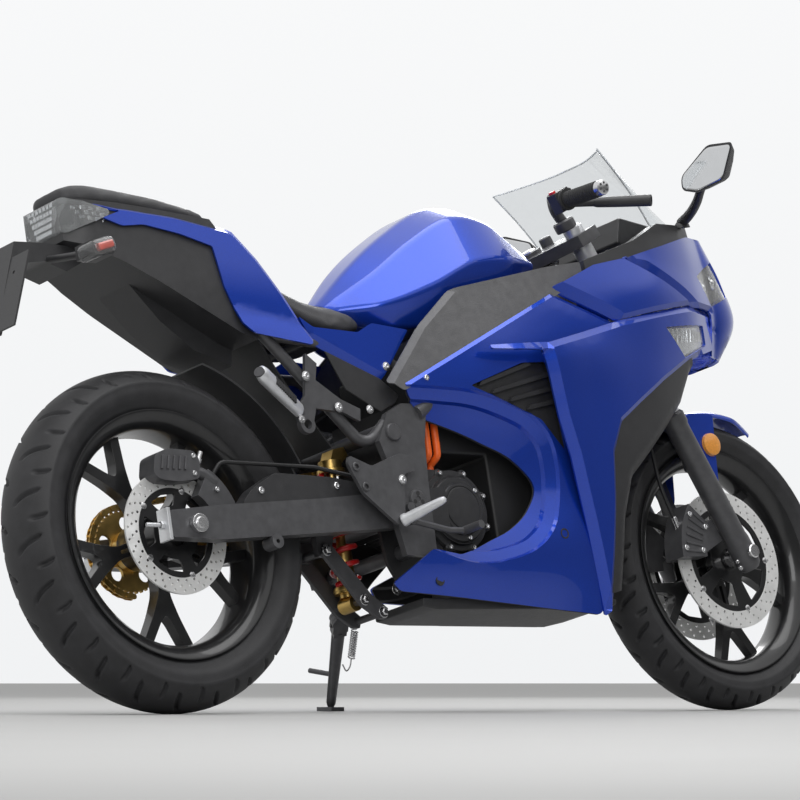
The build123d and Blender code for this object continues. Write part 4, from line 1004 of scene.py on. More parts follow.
# Tank cover: sections across the machine with rounded corners
TANK = [
    # x, bottom z, bottom half, side z, side half, shoulder z, shoulder half, top z, top half
    (445, 742, 40, 752, 52, 766, 40, 776, 18),
    (520, 712, 90, 752, 116, 812, 88, 850, 34),
    (620, 712, 124, 785, 148, 885, 108, 925, 40),
    (740, 742, 132, 840, 158, 944, 112, 984, 42),
    (850, 786, 130, 852, 152, 930, 105, 970, 40),
    (935, 838, 100, 856, 116, 880, 92, 898, 36),
]
FRONT_FOLD = 838
back = np.linspace(447, FRONT_FOLD, 46)
front = np.linspace(FRONT_FOLD, 933.5, 12)[1:]
knots = [row[0] for row in TANK]


def tank_row(x, k):
    """One column of the table, smooth behind the front fold and straight ahead of it."""
    curve = hermite(knots, [row[k] for row in TANK], np.minimum(x, FRONT_FOLD))
    return curve + (TANK[-1][k] - curve) * np.clip((x - FRONT_FOLD) / (935 - FRONT_FOLD), 0, 1)


verts = []
for x in np.concatenate([[445.5], back, front, [934.6]]):
    zb, wb, zs, ws, zh, wh, zt, wt = (float(tank_row(np.array([x]), k)[0]) for k in range(1, 9))
    edge = max(0.0, 1 - min(x - 445, 935 - x) / 10)
    pull = 1 - 0.12 * edge ** 2
    loop = rounded([(-wb, zb), (-ws, zs), (-wh, zh), (-wt, zt), (wt, zt), (wh, zh), (ws, zs), (wb, zb)], 10,
                   4)
    middle = (zb + zt) / 2
    verts += [(float(x), y * pull, middle + (z * 0.985 + 0.015 * zb - middle) * pull) for y, z in loop]
m = len(loop)
rows = len(verts) // m
faces = [(i * m + k, i * m + (k + 1) % m, (i + 1) * m + (k + 1) % m, (i + 1) * m + k)
         for i in range(rows - 1) for k in range(m)]
faces += [tuple(range(m)), tuple((rows - 1) * m + k for k in range(m))]
solid("tank_cover_drawn", Heap().add(verts, faces), PAINT, nodes=["tank_cover"], sharp=24)


# Tail cowls: upper edge turned in, low front part flared
TAIL_SIDE = [(-134, 917), (60, 897), (171, 877), (224, 817), (270, 750), (320, 668), (314, 654), (190, 672),
             (168, 690), (140, 760), (128, 836), (60, 856), (-14, 870), (-58, 866), (-96, 880), (-59, 894)]
TAIL_TOP = [(-134, 917), (60, 897), (171, 877)]
TAIL_FRONT = [(171, 877), (224, 817), (270, 750), (320, 668)]
TAIL_FOLD = [(120, 728), (180, 722), (262, 716), (330, 690)]


def tail_width(x, z):
    """Tail cowl with its upper edge turned in and its foot flared out."""
    edge = np.interp(reach(TAIL_TOP, x, z), (0, 14), (16, 0))
    edge = np.maximum(edge, np.interp(reach(TAIL_FRONT, x, z), (0, 7), (4, 0)))
    flare = np.clip(np.interp(x, (120, 330), (728, 690)) - z, 0, 40) * np.where(x > 120, 0.22, 0)
    return tail_side(x, z) - edge + flare


tail_lines = [aside(TAIL_TOP, -14), aside(TAIL_FRONT, -7), TAIL_FOLD]
for hand, word in ((1, "right"), (-1, "left")):
    heap = panel(TAIL_SIDE, tail_width, (), tail_lines, step=9, corner=5)
    heap.verts = [Vector((v.x, v.y * hand, v.z)) for v in heap.verts]
    solid(f"tail_cowl_{word}_drawn", heap, PAINT, nodes=[f"tail_cowl_{word}"], bevel=1.2, angle=22, sharp=32)

# Side panels
PANEL_SIDE = [(324, 664), (299, 710), (330, 692), (437, 688), (474, 708), (562, 700), (480, 597)]
PANEL_FOOT = [(324, 664), (480, 597)]


def shield(x, z):
    """Side panel turned in along its lower edge."""
    return 130 + 0 * x - np.interp(reach(PANEL_FOOT, x, z), (0, 16), (9, 0))


solid("side_panels_drawn", panel(PANEL_SIDE, shield, (), [aside(PANEL_FOOT, 16)], step=10, corner=5).twin(),
      PAINT,
      nodes=["side_panels"], bevel=1.2, angle=22, sharp=32)

# Tail light: lens with rows of small reflectors behind its rear face and its flanks
dress("tail_light", GREY, 4)
leds = Heap()
for row in range(5):
    for k in range(-3, 4):
        leds.add(*block((3, 8, 8), Matrix.Translation((-158 + 0.5 * row, k * 11 * (1 - 0.1 * row),
                                                       917 - 11.5 * row))))
for row in range(3):
    for k in range(4):
        for hand in (1, -1):
            x = -138 + 14 * k + 5 * row
            y = np.interp(x, (-150, -130, -60), (54, 76, 93))
            leds.add(*block((9, 3, 7), Matrix.Translation((x, -y * hand, 904 - 10 * row - 2.2 * k))))
solid("tail_light_leds", leds, REFLECT, bevel=0.6)
dress("plate_holder", PLASTIC, 2)
shells, cores = Heap(), Heap()
for hand in (1, -1):
    tilt = Matrix.Translation((-179, -172 * hand, 791)) @ Matrix.Rotation(-0.3, 4, "Y")
    shells.add(*block((54, 58, 32), tilt))
    cores.add(*block((36, 62, 14), tilt))
solid("rear_signal_lenses", shells, CLEAR, bevel=12, angle=30)
solid("rear_signal_cores", cores, RED_LENS, bevel=4, angle=30)

# Windscreen: smooth sheet from its low edge to its high one
SHEET = [
    # x, z, tilt, half width, flank length, half width at its front, reach
    (1236, 951, 7, 146, 140, 84, 200),
    (1112, 1097, 10, 156, 34, 112, 66),
]
rows = []
for x, z, tilt, half, flank, front, far in SHEET:
    knots = (0, 0.22, 0.40, 0.5, 0.60, 0.78, 1)
    s = np.linspace(0, 1, 49)
    a = hermite(knots, (0, flank * 0.72, far * 0.965, far, far * 0.965, flank * 0.72, 0), s)
    y = hermite(knots, (-half, -front * 1.13, -front * 0.42, 0, front * 0.42, front * 1.13, half), s)
    rows.append(np.stack([x + a * cos(radians(tilt)), y, z + a * sin(radians(tilt))], 1))
sheet = []
for t in np.linspace(0.0, 1, 24):
    bow = 10 * sin(pi * t)
    line = rows[0] * (1 - t) + rows[1] * t
    line[:, 0] += bow
    sheet.append(line)
outer = np.array(sheet)
centre = np.array([1150, 0, 1000.0])
inner = outer + (centre - outer) / np.linalg.norm(centre - outer, axis=2)[:, :, None] * 3.0
n, m = outer.shape[:2]
faces = []
for i in range(n - 1):
    for k in range(m - 1):
        q = (i * m + k, i * m + k + 1, (i + 1) * m + k + 1, (i + 1) * m + k)
        faces += [q, tuple(n * m + v for v in reversed(q))]
edge = [i * m for i in range(n)] + [(n - 1) * m + k for k in range(1, m)]
edge += [i * m + m - 1 for i in range(n - 2, -1, -1)] + list(range(m - 2, 0, -1))
faces += [(a, b, b + n * m, a + n * m) for a, b in zip(edge, edge[1:] + edge[:1])]
heap = Heap().add(np.concatenate([outer.reshape(-1, 3), inner.reshape(-1, 3)]).tolist(), faces)
solid("windscreen_drawn", heap, SCREEN, nodes=["windscreen"], bevel=0.8, angle=50, sharp=60)
# Whitish glass strips along the screen's sides and upper edge: painted highlight
lips = Heap()
for line in (outer[:, 0], outer[-1], outer[:, -1]):
    lips.add(*pipe(line.tolist(), 1.7, 1, 8))
solid("windscreen_edge_glint", lips, SCREEN_GLINT)

# Mirrors: six-cornered shells on stalks
HEX = [(-219, 1003), (-222, 1031), (-305, 1071), (-375, 1055), (-334, 988), (-261, 985)]


def across(loop, low, high, shrink):
    """Outline in (y, z) pushed along x, its far end drawn in."""
    n = len(loop)
    cy = sum(p[0] for p in loop) / n
    cz = sum(p[1] for p in loop) / n
    levels = [(low, 1), (low + (high - low) * 0.5, 0.5 + shrink * 0.5), (high, shrink * 0.8)]
    verts = [(x, cy + (y - cy) * k, cz + (z - cz) * k) for x, k in levels for y, z in loop]
    faces = [(i * n + k, i * n + (k + 1) % n, (i + 1) * n + (k + 1) % n, (i + 1) * n + k)
             for i in range(2) for k in range(n)]
    return verts, faces + [tuple(range(n)), tuple(2 * n + k for k in range(n))]


shells, panes = Heap(), Heap()
loop = rounded(HEX, 12, 5)
shells.add(*across(loop, 1267, 1311, 0.62))
shells.add(*pipe([(1362, -114, 976), (1352, -146, 981), (1324, -200, 990), (1296, -246, 1003),
                  (1288, -268, 1012)], 11, 6,
                 14, 8))
shells.add(*spin([(0, 12), (10, 12), (15, 6), (17, 0)], (1362, -113, 966), (-0.1, -0.2, 1), 24))
solid("mirrors_drawn", shells.twin(), PLASTIC, nodes=["mirrors"], bevel=2.5, angle=40)
cy = sum(p[0] for p in loop) / len(loop)
cz = sum(p[1] for p in loop) / len(loop)
small = [(cy + (y - cy) * 0.83, cz + (z - cz) * 0.79) for y, z in loop]
panes.add(*across(small, 1264.6, 1267.2, 1.25))
solid("mirror_glass_drawn", panes.twin(), MIRROR, nodes=["mirror_glass"])

# Steering: bars, pods, grips and levers in the fork's frame
bars, grips, pods, ends, reds, levers = (Heap() for _ in range(6))
for hand in (-1, 1):
    start = Vector((-121, hand * 226, 802))
    far = Vector((-138, hand * 345, 797))
    run = (far - start).normalized()
    bars.add(*pipe([(-10, hand * 94, 748), (-22, hand * 100, 780), (-40, hand * 122, 801),
                    (-121, hand * 226, 802),
                    tuple(far)], 11, 8), FORK)
    bars.add(*spin([(0, 735.4), (20, 735.4), (22, 738), (22, 754), (19, 757.5), (0, 758)],
                   (-10, hand * 94, 0), (0, 0, 1)),
             FORK)
    sleeve = [(11.4, 12)]
    for k in range(17):
        at = 14 + 5.6 * k
        sleeve += [(16, at), (16, at + 3.4), (15.1, at + 3.8), (15.1, at + 5.2)]
    sleeve += [(16, 109), (14, 110.5), (11.4, 110.5)]
    grips.add(*spin(sleeve, start, run, 32), FORK)
    grips.add(*spin([(11.4, 8), (21, 8), (21, 13), (11.4, 13)], start, run, 32), FORK)
    ends.add(*spin([(0, 126), (9, 126.5), (14, 124), (15, 121), (15, 112), (11, 111)], start, run, 32), FORK)
    for k in range(6):
        a = 2 * pi * k / 6
        frame_of = Matrix.Translation(start + run * 126.2) @ along(run)
        bars.add(*spin([(2.6, 0), (2.4, 0.6), (0, 0.6)], frame_of @ Vector((8.6 * cos(a), 8.6 * sin(a), 0)),
                       run, 10), FORK)
    pods.add(*block((42, 24, 40), FORK @ Matrix.Translation((-114, hand * 213, 803))))
    pods.add(*block((26, 16, 20), FORK @ Matrix.Translation((-92, hand * 210, 794))))
    pods.add(*spin([(0, 0), (13, 0), (13, 16), (11, 18), (0, 18)], FORK @ Vector((-84, hand * 200, 802)),
                   (0, 0, 1), 28))
    reds.add(*block((9, 13, 6), FORK @ Matrix.Translation((-126, hand * 212, 825))))
    levers.add(*pipe([(-104, hand * 214, 792), (-84, hand * 228, 781), (-66, hand * 252, 767)], 7, 6, 16, 8),
               FORK)
    root, end = FORK @ Vector((-70, hand * 246, 770)), FORK @ Vector((-20, hand * 336, 724))
    reach_out = (end - root).length
    levers.add(*spin([(0, 0), (8, 0), (9.5, 6), (10.5, 40), (11.5, reach_out - 1), (10.5, reach_out),
                      (8, reach_out),
                      (7.5, reach_out - 9), (0, reach_out - 9)], root, end - root, 28))
solid("handlebars_drawn", bars, METAL, "steering", ["handlebars"])
solid("grips_drawn", grips, GRIP, "steering", ["grips"], sharp=45)
solid("bar_ends", ends, STEEL, "steering")
solid("switch_pods", pods, PLASTIC, "steering", (), 4, 40)
solid("switch_buttons", reds, RED, "steering", (), 1.5)
solid("brake_levers_drawn", levers, PLASTIC, "steering", ["brake_levers"])

dress("triple_clamps", METAL, 4)
tops = Heap()
for y in (-98, 98):
    tops.add(*spin([(0, 738), (8, 738), (9, 740), (15, 740), (18, 737), (18, 733)], (0, y, 0), (0, 0, 1), 6),
             FORK)
tops.add(*spin([(0, 733), (14, 733), (17, 730), (17, 726)], (-40, 0, 0), (0, 0, 1), 6), FORK)
solid("fork_caps", tops, STEEL, "steering", (), 0.8)
key = Heap().add(*spin([(0, 738), (10, 738), (13, 736), (13, 716)], (20, 0, 0), (0, 0, 1), 28), FORK)
solid("key_switch", key, METAL, "steering")

legs = Heap()
for y in (-98, 98):
    legs.add(*spin([(0, -34), (16, -34), (23, -26), (25, -14), (25, 30), (23.5, 40), (23.5, 286), (26, 292),
                    (26, 312),
                    (21, 318)], (0, y, 0), (0, 0, 1), 40), FORK)
solid("fork_legs_drawn", legs, METAL, "steering", ["fork_legs"])
tubes = Heap()
for y in (-98, 98):
    tubes.add(*spin([(20.5, 312), (20.5, 735), (0, 735)], (0, y, 0), (0, 0, 1), 40), FORK)
solid("fork_tubes", tubes, ALLOY, "steering")
axle = Heap()
axle.add(*spin([(0, -130), (12, -130), (14, -128), (14, -122), (10, -122), (10, 122), (14, 122), (14, 128),
                (0, 128)],
               (1400, 0, 293), LEFT, 36))
for y in (-72, 72):
    axle.add(*spin([(10, -14), (17, -14), (17, 14), (10, 14)], (1400, y, 293), LEFT, 32))
pinch = FORK.to_3x3() @ Vector((-1, 0, 0))
for y in (-98, 98):
    for s in (-16, -30):
        bolt(axle, FORK @ Vector((-24, y, s + 12)), pinch, 5, 5)
solid("front_axle", axle, STEEL, "steering")

# Front mudguard: arched hoop with skirts down to the legs, and round reflectors
hoop = []
SECTION = [(296, 63), (301, 62), (304.5, 57), (306, 45), (307.5, 25), (308, 0)]
SECTION = SECTION + [(r, -y) for r, y in SECTION[-2::-1]]
turns = np.linspace(radians(63), radians(157), 48)
m = len(SECTION)
for a in turns:
    nose = np.interp(a, (radians(63), radians(76)), (0.62, 1))
    for lift in (0, -3.2):
        hoop += [(1400 + (r + lift) * cos(a), y * nose * (1 if not lift else 0.95), 293 + (r + lift) * sin(a))
                 for r, y in SECTION]
faces = []
for i in range(len(turns) - 1):
    a, b = i * 2 * m, (i + 1) * 2 * m
    for k in range(m - 1):
        faces += [(a + k, a + k + 1, b + k + 1, b + k), (a + m + k + 1, a + m + k, b + m + k, b + m + k + 1)]
    faces += [(a, b, b + m, a + m), (a + m - 1, a + 2 * m - 1, b + 2 * m - 1, b + m - 1)]
last = (len(turns) - 1) * 2 * m
for k in range(m - 1):
    faces += [(k, k + m, k + m + 1, k + 1), (last + k, last + k + 1, last + k + m + 1, last + k + m)]
guard = Heap().add(hoop, faces)
SKIRT = [(1276, 560), (1350, 590), (1414, 592), (1404, 520), (1396, 440), (1380, 416), (1362, 424),
         (1330, 480)]
skirt = panel(SKIRT, lambda x, z: 66 + 0 * x - np.interp(z, (420, 600), (0, 3)), thick=3.5, step=12,
              corner=10).twin()
guard.add(skirt.verts, skirt.faces)
solid("front_fender_drawn", guard, PAINT, "steering", ["front_fender"], 1.0, 45)
bosses = Heap().add(*slab([rounded([(1304, 466), (1350, 466), (1356, 516), (1296, 516)], 6)], 66, 76)).twin()
solid("fender_bosses", bosses, METAL, "steering", (), 1.5)
discs = Heap()
for hand in (1, -1):
    discs.add(*spin([(0, 8), (18, 7.4), (22.5, 5.5), (24, 0)], (1392, -65 * hand, 527), (0, -hand, 0), 40))
solid("fender_reflectors", discs, AMBER, "steering")

# Front calipers with fins, bolts and banjo fittings
dress("front_calipers", METAL, 3)
fins, bolts = Heap(), Heap()
for hand in (1, -1):
    for k in range(6):
        a = radians(144 + 6.6 * k)
        spot = Vector((1400 + 126 * cos(a), -88 * hand, 293 + 126 * sin(a)))
        fins.add(*block((44, 5, 4.5), Matrix.Translation(spot) @ Matrix.Rotation(-a, 4, "Y")))
    for deg, r in ((147, 104), (175, 104), (147, 150), (175, 150)):
        a = radians(deg)
        bolt(bolts, (1400 + r * cos(a), -88 * hand, 293 + r * sin(a)), (0, -hand, 0), 6, 5)
solid("front_caliper_fins", fins, METAL, "steering", (), 1.2)
solid("front_caliper_bolts", bolts, STEEL, "steering")
hoses, banjo = Heap(), Heap()
for hand in (1, -1):
    path = [(-104, hand * 72, 118), (-94, hand * 72, 200), (-66, hand * 74, 290), (-50, hand * 77, 400),
            (-44, hand * 78, 467)]
    hoses.add(*pipe(path, 4, 8), FORK)
    banjo.add(*spin([(0, 0), (7, 0), (7, 12), (5.5, 14), (5.5, 34), (4.4, 36)],
                    FORK @ Vector((-105, hand * 72, 104)),
                    FORK.to_3x3() @ Vector((0.12, 0, 1)), 16))
solid("front_brake_hoses_drawn", hoses, HOSE, "steering", ["front_brake_hoses"])
solid("front_hose_ends", banjo, STEEL, "steering")

# Suspension, motor and frame details
def coil(start, end, radius, wire, turns, per_turn=16):
    """Coil spring between two points."""
    start, end = Vector(start), Vector(end)
    turn = along(end - start).to_3x3()
    count = int(turns * per_turn)
    points = []
    for i in range(count + 1):
        a = 2 * pi * i / per_turn
        points.append(start + (end - start) * (i / count) + turn @ Vector((radius * cos(a), radius * sin(a),
                                                                           0)))
    return pipe(points, wire, 1, 10)


solid("rear_spring_drawn", Heap().add(*coil((437, 0, 238), (437, 0, 448), 24, 5.4, 7)), RED,
      body_of("rear_spring"),
      ["rear_spring"], sharp=60)
dress("rear_damper", GOLD, 1)
collars = Heap()
for z, r, h in ((226, 27, 7), (450, 27, 8), (462, 22, 10)):
    collars.add(*spin([(12, 0), (r - 1, 0), (r, 1), (r, h - 1), (r - 1, h), (12, h)], (437, 0, z), (0, 0, 1),
                      40))
solid("damper_collars", collars, GOLD)
dress("shock_rocker", METAL, 2)
links = Heap()
for x, z in ((437, 201), (479, 178), (363, 293), (519, 222)):
    for hand in (1, -1):
        links.add(*spin([(0, 0), (11, 0), (11, 1.6), (9, 2)], (x, -42 * hand, z), (0, -hand, 0), 24))
        links.add(*spin([(0, 8), (5, 8), (7.5, 6.6), (7.5, 1.6)], (x, -42 * hand, z), (0, -hand, 0), 6))
solid("linkage_bolts", links, STEEL, "chassis", (), 0.5)

# Motor cover: flange, two steps and a flat disc, with two rings of bolts
dress("motor", MOTOR, 1.6)
cover = Heap()
cover.add(*spin([(60, 94), (77, 94), (78.5, 95.5), (78.5, 102), (77, 104), (68, 104.5), (66.5, 106),
                 (64, 112), (61, 114.5),
                 (51, 115), (50, 116.5), (49, 121.5), (47, 123.5), (43, 123.8), (42.2, 122.6), (41, 122.6),
                 (40.2, 124.4),
                 (38, 125.3), (0, 125.6)], (640, 0, 360), RIGHT, 96))
for k in range(8):
    a = radians(22.5 + 45 * k)
    cover.add(*spin([(9, 94), (9, 103), (7.5, 104.6), (0, 104.6)], (640 + 77 * cos(a), 0, 360 + 77 * sin(a)),
                    RIGHT, 20))
solid("motor_cover", cover, MOTOR, sharp=30)
studs = Heap()
for k in range(8):
    a = radians(22.5 + 45 * k)
    bolt(studs, (640 + 77 * cos(a), -104.4, 360 + 77 * sin(a)), RIGHT, 5.4, 4.6)
for deg in (40, 170, 285):
    a = radians(deg)
    bolt(studs, (640 + 57 * cos(a), -114.6, 360 + 57 * sin(a)), RIGHT, 5, 4)
solid("motor_cover_bolts", studs, STEEL)
dress("motor_cables", ORANGE, 0)
dress("battery_pack", CASE, 6)

# Frame plates: round caps, pivot cap with three holes shown as dark discs of painted shade, bolts
dress("main_frame", METAL, 2.2)
caps = Heap()
for hand in (1, -1):
    out = (0, -hand, 0)
    caps.add(*spin([(0, 6), (15, 6), (17, 4), (17.5, 0)], (478, -139.5 * hand, 495), out, 40))
    caps.add(*spin([(0, 5), (5, 5), (6, 7), (16, 7), (18, 5), (19, 0)], (512, -139.5 * hand, 368), out, 40))
solid("frame_caps", caps, METAL)
holes = Heap()
screws = Heap()
for hand in (1, -1):
    out = (0, -hand, 0)
    for k in range(3):
        a = radians(90 + 120 * k)
        holes.add(*spin([(0, 7.3), (4.2, 7.3), (4.6, 6)],
                        (512 + 10.5 * cos(a), -139.5 * hand, 368 + 10.5 * sin(a)), out, 18))
    for x, y, z, r in ((469, 157, 400, 6.5), (494, 130, 625, 5.5), (292, 134, 595, 6.5), (360, 134, 539, 6.5),
                       (442, 126, 541, 5.5), (268, 134, 512, 4.5)):
        screws.add(*spin([(0, 0), (r + 3, 0), (r + 3, 1.2), (r, 1.5)], (x, -y * hand, z), out, 24))
        bolt(screws, (x, -(y + 1.2) * hand, z), out, r, 4)
# Dark discs on the pivot cap stand for its three holes as painted shade
solid("pivot_cap_hole_shades", holes, GRIP)
solid("frame_screws", screws, STEEL)
dress("frame_covers", PLASTIC, 1.6)

# Swingarm with a cover on its front run, and chain adjusters at its ends
dress("swingarm", METAL, 4)
dress("rear_axle", STEEL, 1)
dress("hugger", PLASTIC, 1.2)
TOP_COVER = [(112, 353), (136, 380), (196, 413), (330, 409), (392, 400), (410, 376), (300, 366)]
cover = Heap().add(*slab([rounded(TOP_COVER, 9)], 96, 123.5))
solid("swingarm_cover", cover.twin(), PLASTIC, "chassis", (), 3, 40)
adjust, screws = Heap(), Heap()
for hand in (1, -1):
    adjust.add(*block((7, 31, 58), Matrix.Translation((-61, -112 * hand, 312))))
    adjust.add(*spin([(0, 0), (4, 0), (4, 40), (3, 42), (0, 42)], (-60, -112 * hand, 312), (-1, 0, 0), 16))
    adjust.add(*spin([(0, 0), (8, 0), (8, 7), (6.5, 8)], (-64, -112 * hand, 312), (-1, 0, 0), 6))
    for x, z in ((158, 379), (337, 393)):
        bolt(screws, (x, -123.5 * hand, z), (0, -hand, 0), 6.5, 4)
solid("chain_adjusters", adjust, ALLOY, "chassis", (), 0.8)
solid("swingarm_screws", screws, STEEL)

# Rider's rests: slanted bracket with bushes, bright tapered pegs
dress("brake_pedal", METAL, 1.2)
HOLDER_PLATE = [(344, 426), (349, 442), (400, 424), (470, 450), (508, 446), (508, 420), (478, 412),
                (464, 330),
                (446, 314), (372, 372), (353, 408)]
plates, pegs, bushes = Heap(), Heap(), Heap()
for hand in (1, -1):
    plates.add(*slab([rounded(HOLDER_PLATE, 6)], 148.6 * hand, 156.6 * hand))
    root = Vector((456, -156 * hand, 322))
    way = Vector((43, -80 * hand, 24))
    pegs.add(*spin([(0, 0), (10.5, 0), (12, 2), (12, 9), (10.5, 12), (10.5, 30), (8.5, 62), (7.5, 82),
                    (5.5, 90), (0, 93)],
                   root, way.normalized(), 24))
    for x, z in ((361, 421), (378, 384)):
        bushes.add(*spin([(4.4, 4), (7.4, 4), (8.4, 3), (8.4, 0)], (x, -156 * hand, z), (0, -hand, 0), 24))
solid("rider_pegs_drawn", plates, METAL, "chassis", ["rider_pegs"], 1.6)
solid("rider_peg_sleeves", pegs, ALLOY, sharp=30)
solid("bracket_bushes", bushes, METAL)

# Passenger's rests: bright tapered pegs with ridged rubber set in
dress("passenger_pegs", METAL, 2)
rests, pads = Heap(), Heap()
for hand in (1, -1):
    root = Vector((270, -129 * hand, 530))
    tip_at = Vector((137, -190 * hand, 580))
    way = (tip_at - root).normalized()
    long = (tip_at - root).length
    flank = Vector((-0.5, -0.8 * hand, 0.3))
    flank = (flank - way * flank.dot(way)).normalized()
    cross = way.cross(flank)
    round_bar, faces = spin([(0, 0), (8.5, 0), (10.6, 4), (11, 30), (12, 70), (12.4, long - 16),
                             (11, long - 6),
                             (8, long - 1.5), (0, long)], root, way, 28)
    rests.add([Vector(p) + cross * (Vector(p) - root).dot(cross) * 0.4 for p in round_bar], faces)
    turn = Matrix((way, cross, flank)).transposed().to_4x4()
    for k in range(12):
        spot = root + way * (38 + 6.6 * k) + flank * 10.5
        pads.add(*block((4.4, 15, 6), Matrix.Translation(spot) @ turn))
solid("passenger_peg_sleeves", rests, ALLOY, sharp=35)
solid("passenger_peg_rubbers", pads, GRIP, "chassis", (), 1.0)
eyes = Heap()
for hand in (1, -1):
    eyes.add(*ring([(10, -3), (10, 3), (11, 4), (13.5, 4), (14.5, 3), (14.5, -3), (13.5, -4), (11, -4)],
                   (282, -128 * hand, 504), RIGHT, 40))
solid("hanger_eyes", eyes, METAL)

# Rear brake and hose
dress("rear_brake", METAL, 2.4)
dress("rear_brake_hose", HOSE, 0)
REAR_BODY = [(-56, 410), (-48, 446), (-20, 458), (40, 456), (52, 440), (46, 404), (0, 398), (-40, 400)]
body = Heap().add(*slab([rounded(REAR_BODY, 9)], 49, 94))
solid("rear_caliper_body", body, METAL, "chassis", (), 4, 40)
ribs, rear_bolts = Heap(), Heap()
for k in range(5):
    ribs.add(*block((5, 5, 26), Matrix.Translation((-34 + 13 * k, -95, 432)) @ Matrix.Rotation(0.25, 4, "Y")))
for x, z in ((38, 446), (36, 414), (82, 386), (96, 348)):
    bolt(rear_bolts, (x, -93, z), RIGHT, 5, 4)
ribs.add(*pipe([(30, -82, 420), (60, -84, 416), (84, -84, 400)], 11, 4))
solid("rear_caliper_ribs", ribs, METAL, "chassis", (), 1)
rear_bolts.add(*spin([(0, 0), (7, 0), (7, 9), (5, 11), (5, 24), (0, 25)], (56, -80, 436), (0.5, 0, 1), 16))
solid("rear_caliper_bolts", rear_bolts, STEEL)

# Stand, belly and under tail
stand = dress("side_stand", METAL, 1.4)
sole = [v for v in stand.data.vertices if v.co.z < 0.014]
middle = sum(v.co.x for v in sole) / len(sole)
for v in sole:
    v.co.x = middle + (v.co.x - middle) * 0.55
TRAY = [(506, 186), (506, 172), (540, 166), (930, 166), (985, 176), (985, 186)]
TRAY_LEFT = 15
n = len(TRAY)
near = [(x, 9 - float(mid_side(np.array([x]), np.array([z]))[0]), z) for x, z in TRAY]
far = [(x, TRAY_LEFT, z) for x, z in TRAY]
walls = [(i, (i + 1) % n, n + (i + 1) % n, n + i) for i in range(n)]
tray = Heap().add(near + far, walls + [tuple(range(n)), tuple(range(n, 2 * n))])
solid("belly_tray_drawn", tray, PLASTIC, "chassis", ["belly_tray"], 3)
dress("under_tail", PLASTIC, 7)

# Dark sheet in front of the rear wheel; a dark wall behind the pack and dark plates beside the linkage fill
# the gaps round the shock as painted shade
GUARD = flow([(205, 790), (222, 730), (250, 670), (290, 605), (335, 545), (385, 480)])
SHADE_PLATE = [(470, 335), (615, 335), (608, 300), (560, 262), (520, 226), (500, 226), (479, 262)]
guards = Heap()
guards.add(*slab([GUARD + aside(GUARD, 4)[::-1]], -70, 70))
# The wall behind the pack and the two plates beside the linkage are dark fills of painted shade
guards.add(*block((5, 176, 230), Matrix.Translation((533, 0, 445))))
for hand in (1, -1):
    guards.add(*slab([rounded(SHADE_PLATE, 8)], 66 * hand, 74 * hand))
solid("inner_guard_and_shade_fills", guards, PLASTIC, "chassis", (), 1.2)

# Spring of the stand
SPRING_TOP, SPRING_END = (541, 115, 181), (523, 116, 127)
spring = Heap()
spring.add(*coil(SPRING_TOP, SPRING_END, 6, 1.5, 12, 12))
spring.add(*pipe([SPRING_END, (516, 117, 109), (509, 118, 103), (502, 119, 116)], 1.5, 4, 8))
solid("side_stand_spring", spring, STEEL, body_of("side_stand"))
dress("cockpit_trim", PLASTIC, 1.4)
dress("instrument_panel", PLASTIC, 4)

# Floor, light and camera
bpy.ops.mesh.primitive_circle_add(vertices=96, radius=40, fill_type="NGON", location=(0, 0, 0))
floor = bpy.context.object
floor.name = "floor"
floor.data.materials.append(material("floor", (0.38, 0.38, 0.376), 0.7, vary=0.03, scale=3, bump=0.2,
                                     grain=90))

world = bpy.data.worlds.new("sky")
bpy.context.scene.world = world
world.use_nodes = True
tree = world.node_tree
place = tree.nodes.new("ShaderNodeTexCoord")
split = tree.nodes.new("ShaderNodeSeparateXYZ")
sky = tree.nodes.new("ShaderNodeValToRGB")
tree.links.new(place.outputs["Generated"], split.inputs["Vector"])
tree.links.new(split.outputs["Z"], sky.inputs["Fac"])
stops = sky.color_ramp.elements
stops[0].position = 0.0
stops[0].color = (0.84, 0.85, 0.86, 1)
stops[1].position = 0.5
stops[1].color = (1.0, 1.0, 1.0, 1)


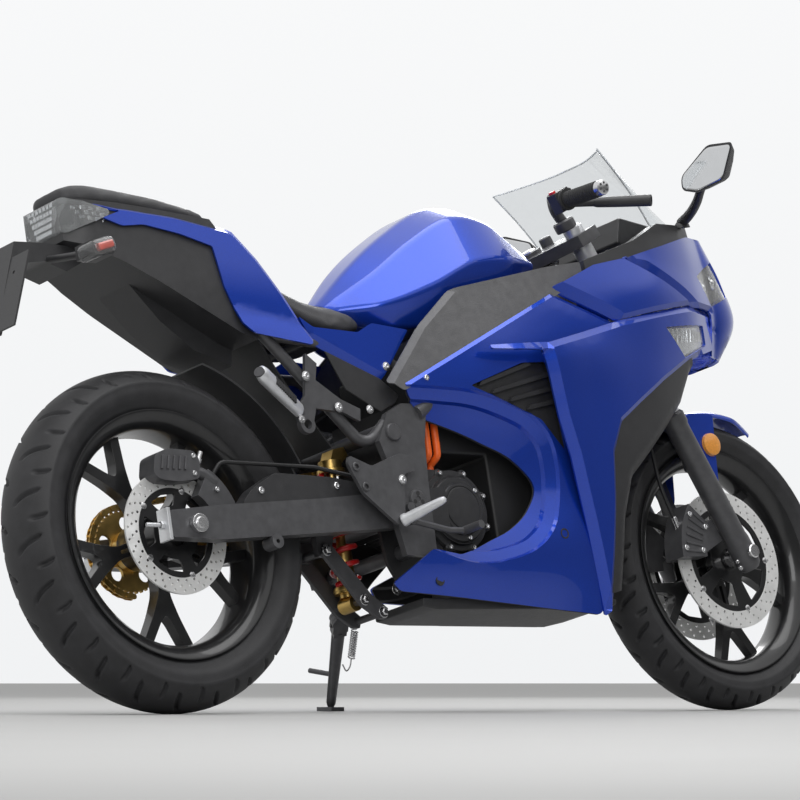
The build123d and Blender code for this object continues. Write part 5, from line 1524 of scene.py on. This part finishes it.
def ranged(source, low, high, to_low, to_high):
    """World node that maps one range of a value to another."""
    node = tree.nodes.new("ShaderNodeMapRange")
    for key, value in (("From Min", low), ("From Max", high), ("To Min", to_low), ("To Max", to_high)):
        node.inputs[key].default_value = value
    tree.links.new(source, node.inputs["Value"])
    return node


wall = ranged(split.outputs["Y"], -0.55, 0.35, 0.16, 1.0)
roof = ranged(split.outputs["Z"], 0.40, 0.50, 0.0, 1.0)
level = tree.nodes.new("ShaderNodeMath")
level.operation = "MAXIMUM"
tree.links.new(wall.outputs["Result"], level.inputs[0])
tree.links.new(roof.outputs["Result"], level.inputs[1])
blend = tree.nodes.new("ShaderNodeVectorMath")
blend.operation = "SCALE"
tree.links.new(sky.outputs["Color"], blend.inputs[0])
tree.links.new(level.outputs["Value"], blend.inputs["Scale"])
tree.links.new(blend.outputs["Vector"], tree.nodes["Background"].inputs["Color"])
ray = tree.nodes.new("ShaderNodeLightPath")
seen = ranged(ray.outputs["Is Camera Ray"], 0, 1, 0.85, 1.05)
tree.links.new(seen.outputs["Result"], tree.nodes["Background"].inputs["Strength"])

LIGHTS = [
    # name, place, aim, size, watts
    ("overhead", (0, -0.5, 4.2), (0, 0, 0.5), 4.0, 110),
    ("side", (-3.4, -4.0, 2.6), (0, 0, 0.6), 2.4, 70),
    ("rim", (3.6, 3.2, 3.0), (0.3, 0, 0.6), 1.8, 60),
]
for name, spot, aim, size, watts in LIGHTS:
    lamp = bpy.data.lights.new(name, "AREA")
    lamp.shape = "SQUARE"
    lamp.size = size
    lamp.energy = watts
    holder = bpy.data.objects.new(name, lamp)
    bpy.context.collection.objects.link(holder)
    holder.location = spot
    holder.rotation_euler = (Vector(aim) - Vector(spot)).to_track_quat("-Z", "Y").to_euler()

YAW = 0.7173
PITCH = 0.0682
camera = bpy.data.cameras.new("photo")
camera.lens = 183.1
camera.sensor_width = 36
viewer = bpy.data.objects.new("photo", camera)
bpy.context.collection.objects.link(viewer)
viewer.location = (-5.1179, -5.8971, 0.0637)
aim = Vector((sin(YAW) * cos(PITCH), cos(YAW) * cos(PITCH), sin(PITCH)))
viewer.rotation_euler = aim.to_track_quat("-Z", "Y").to_euler()
bpy.context.scene.camera = viewer
bpy.context.scene.view_settings.view_transform = "Standard"
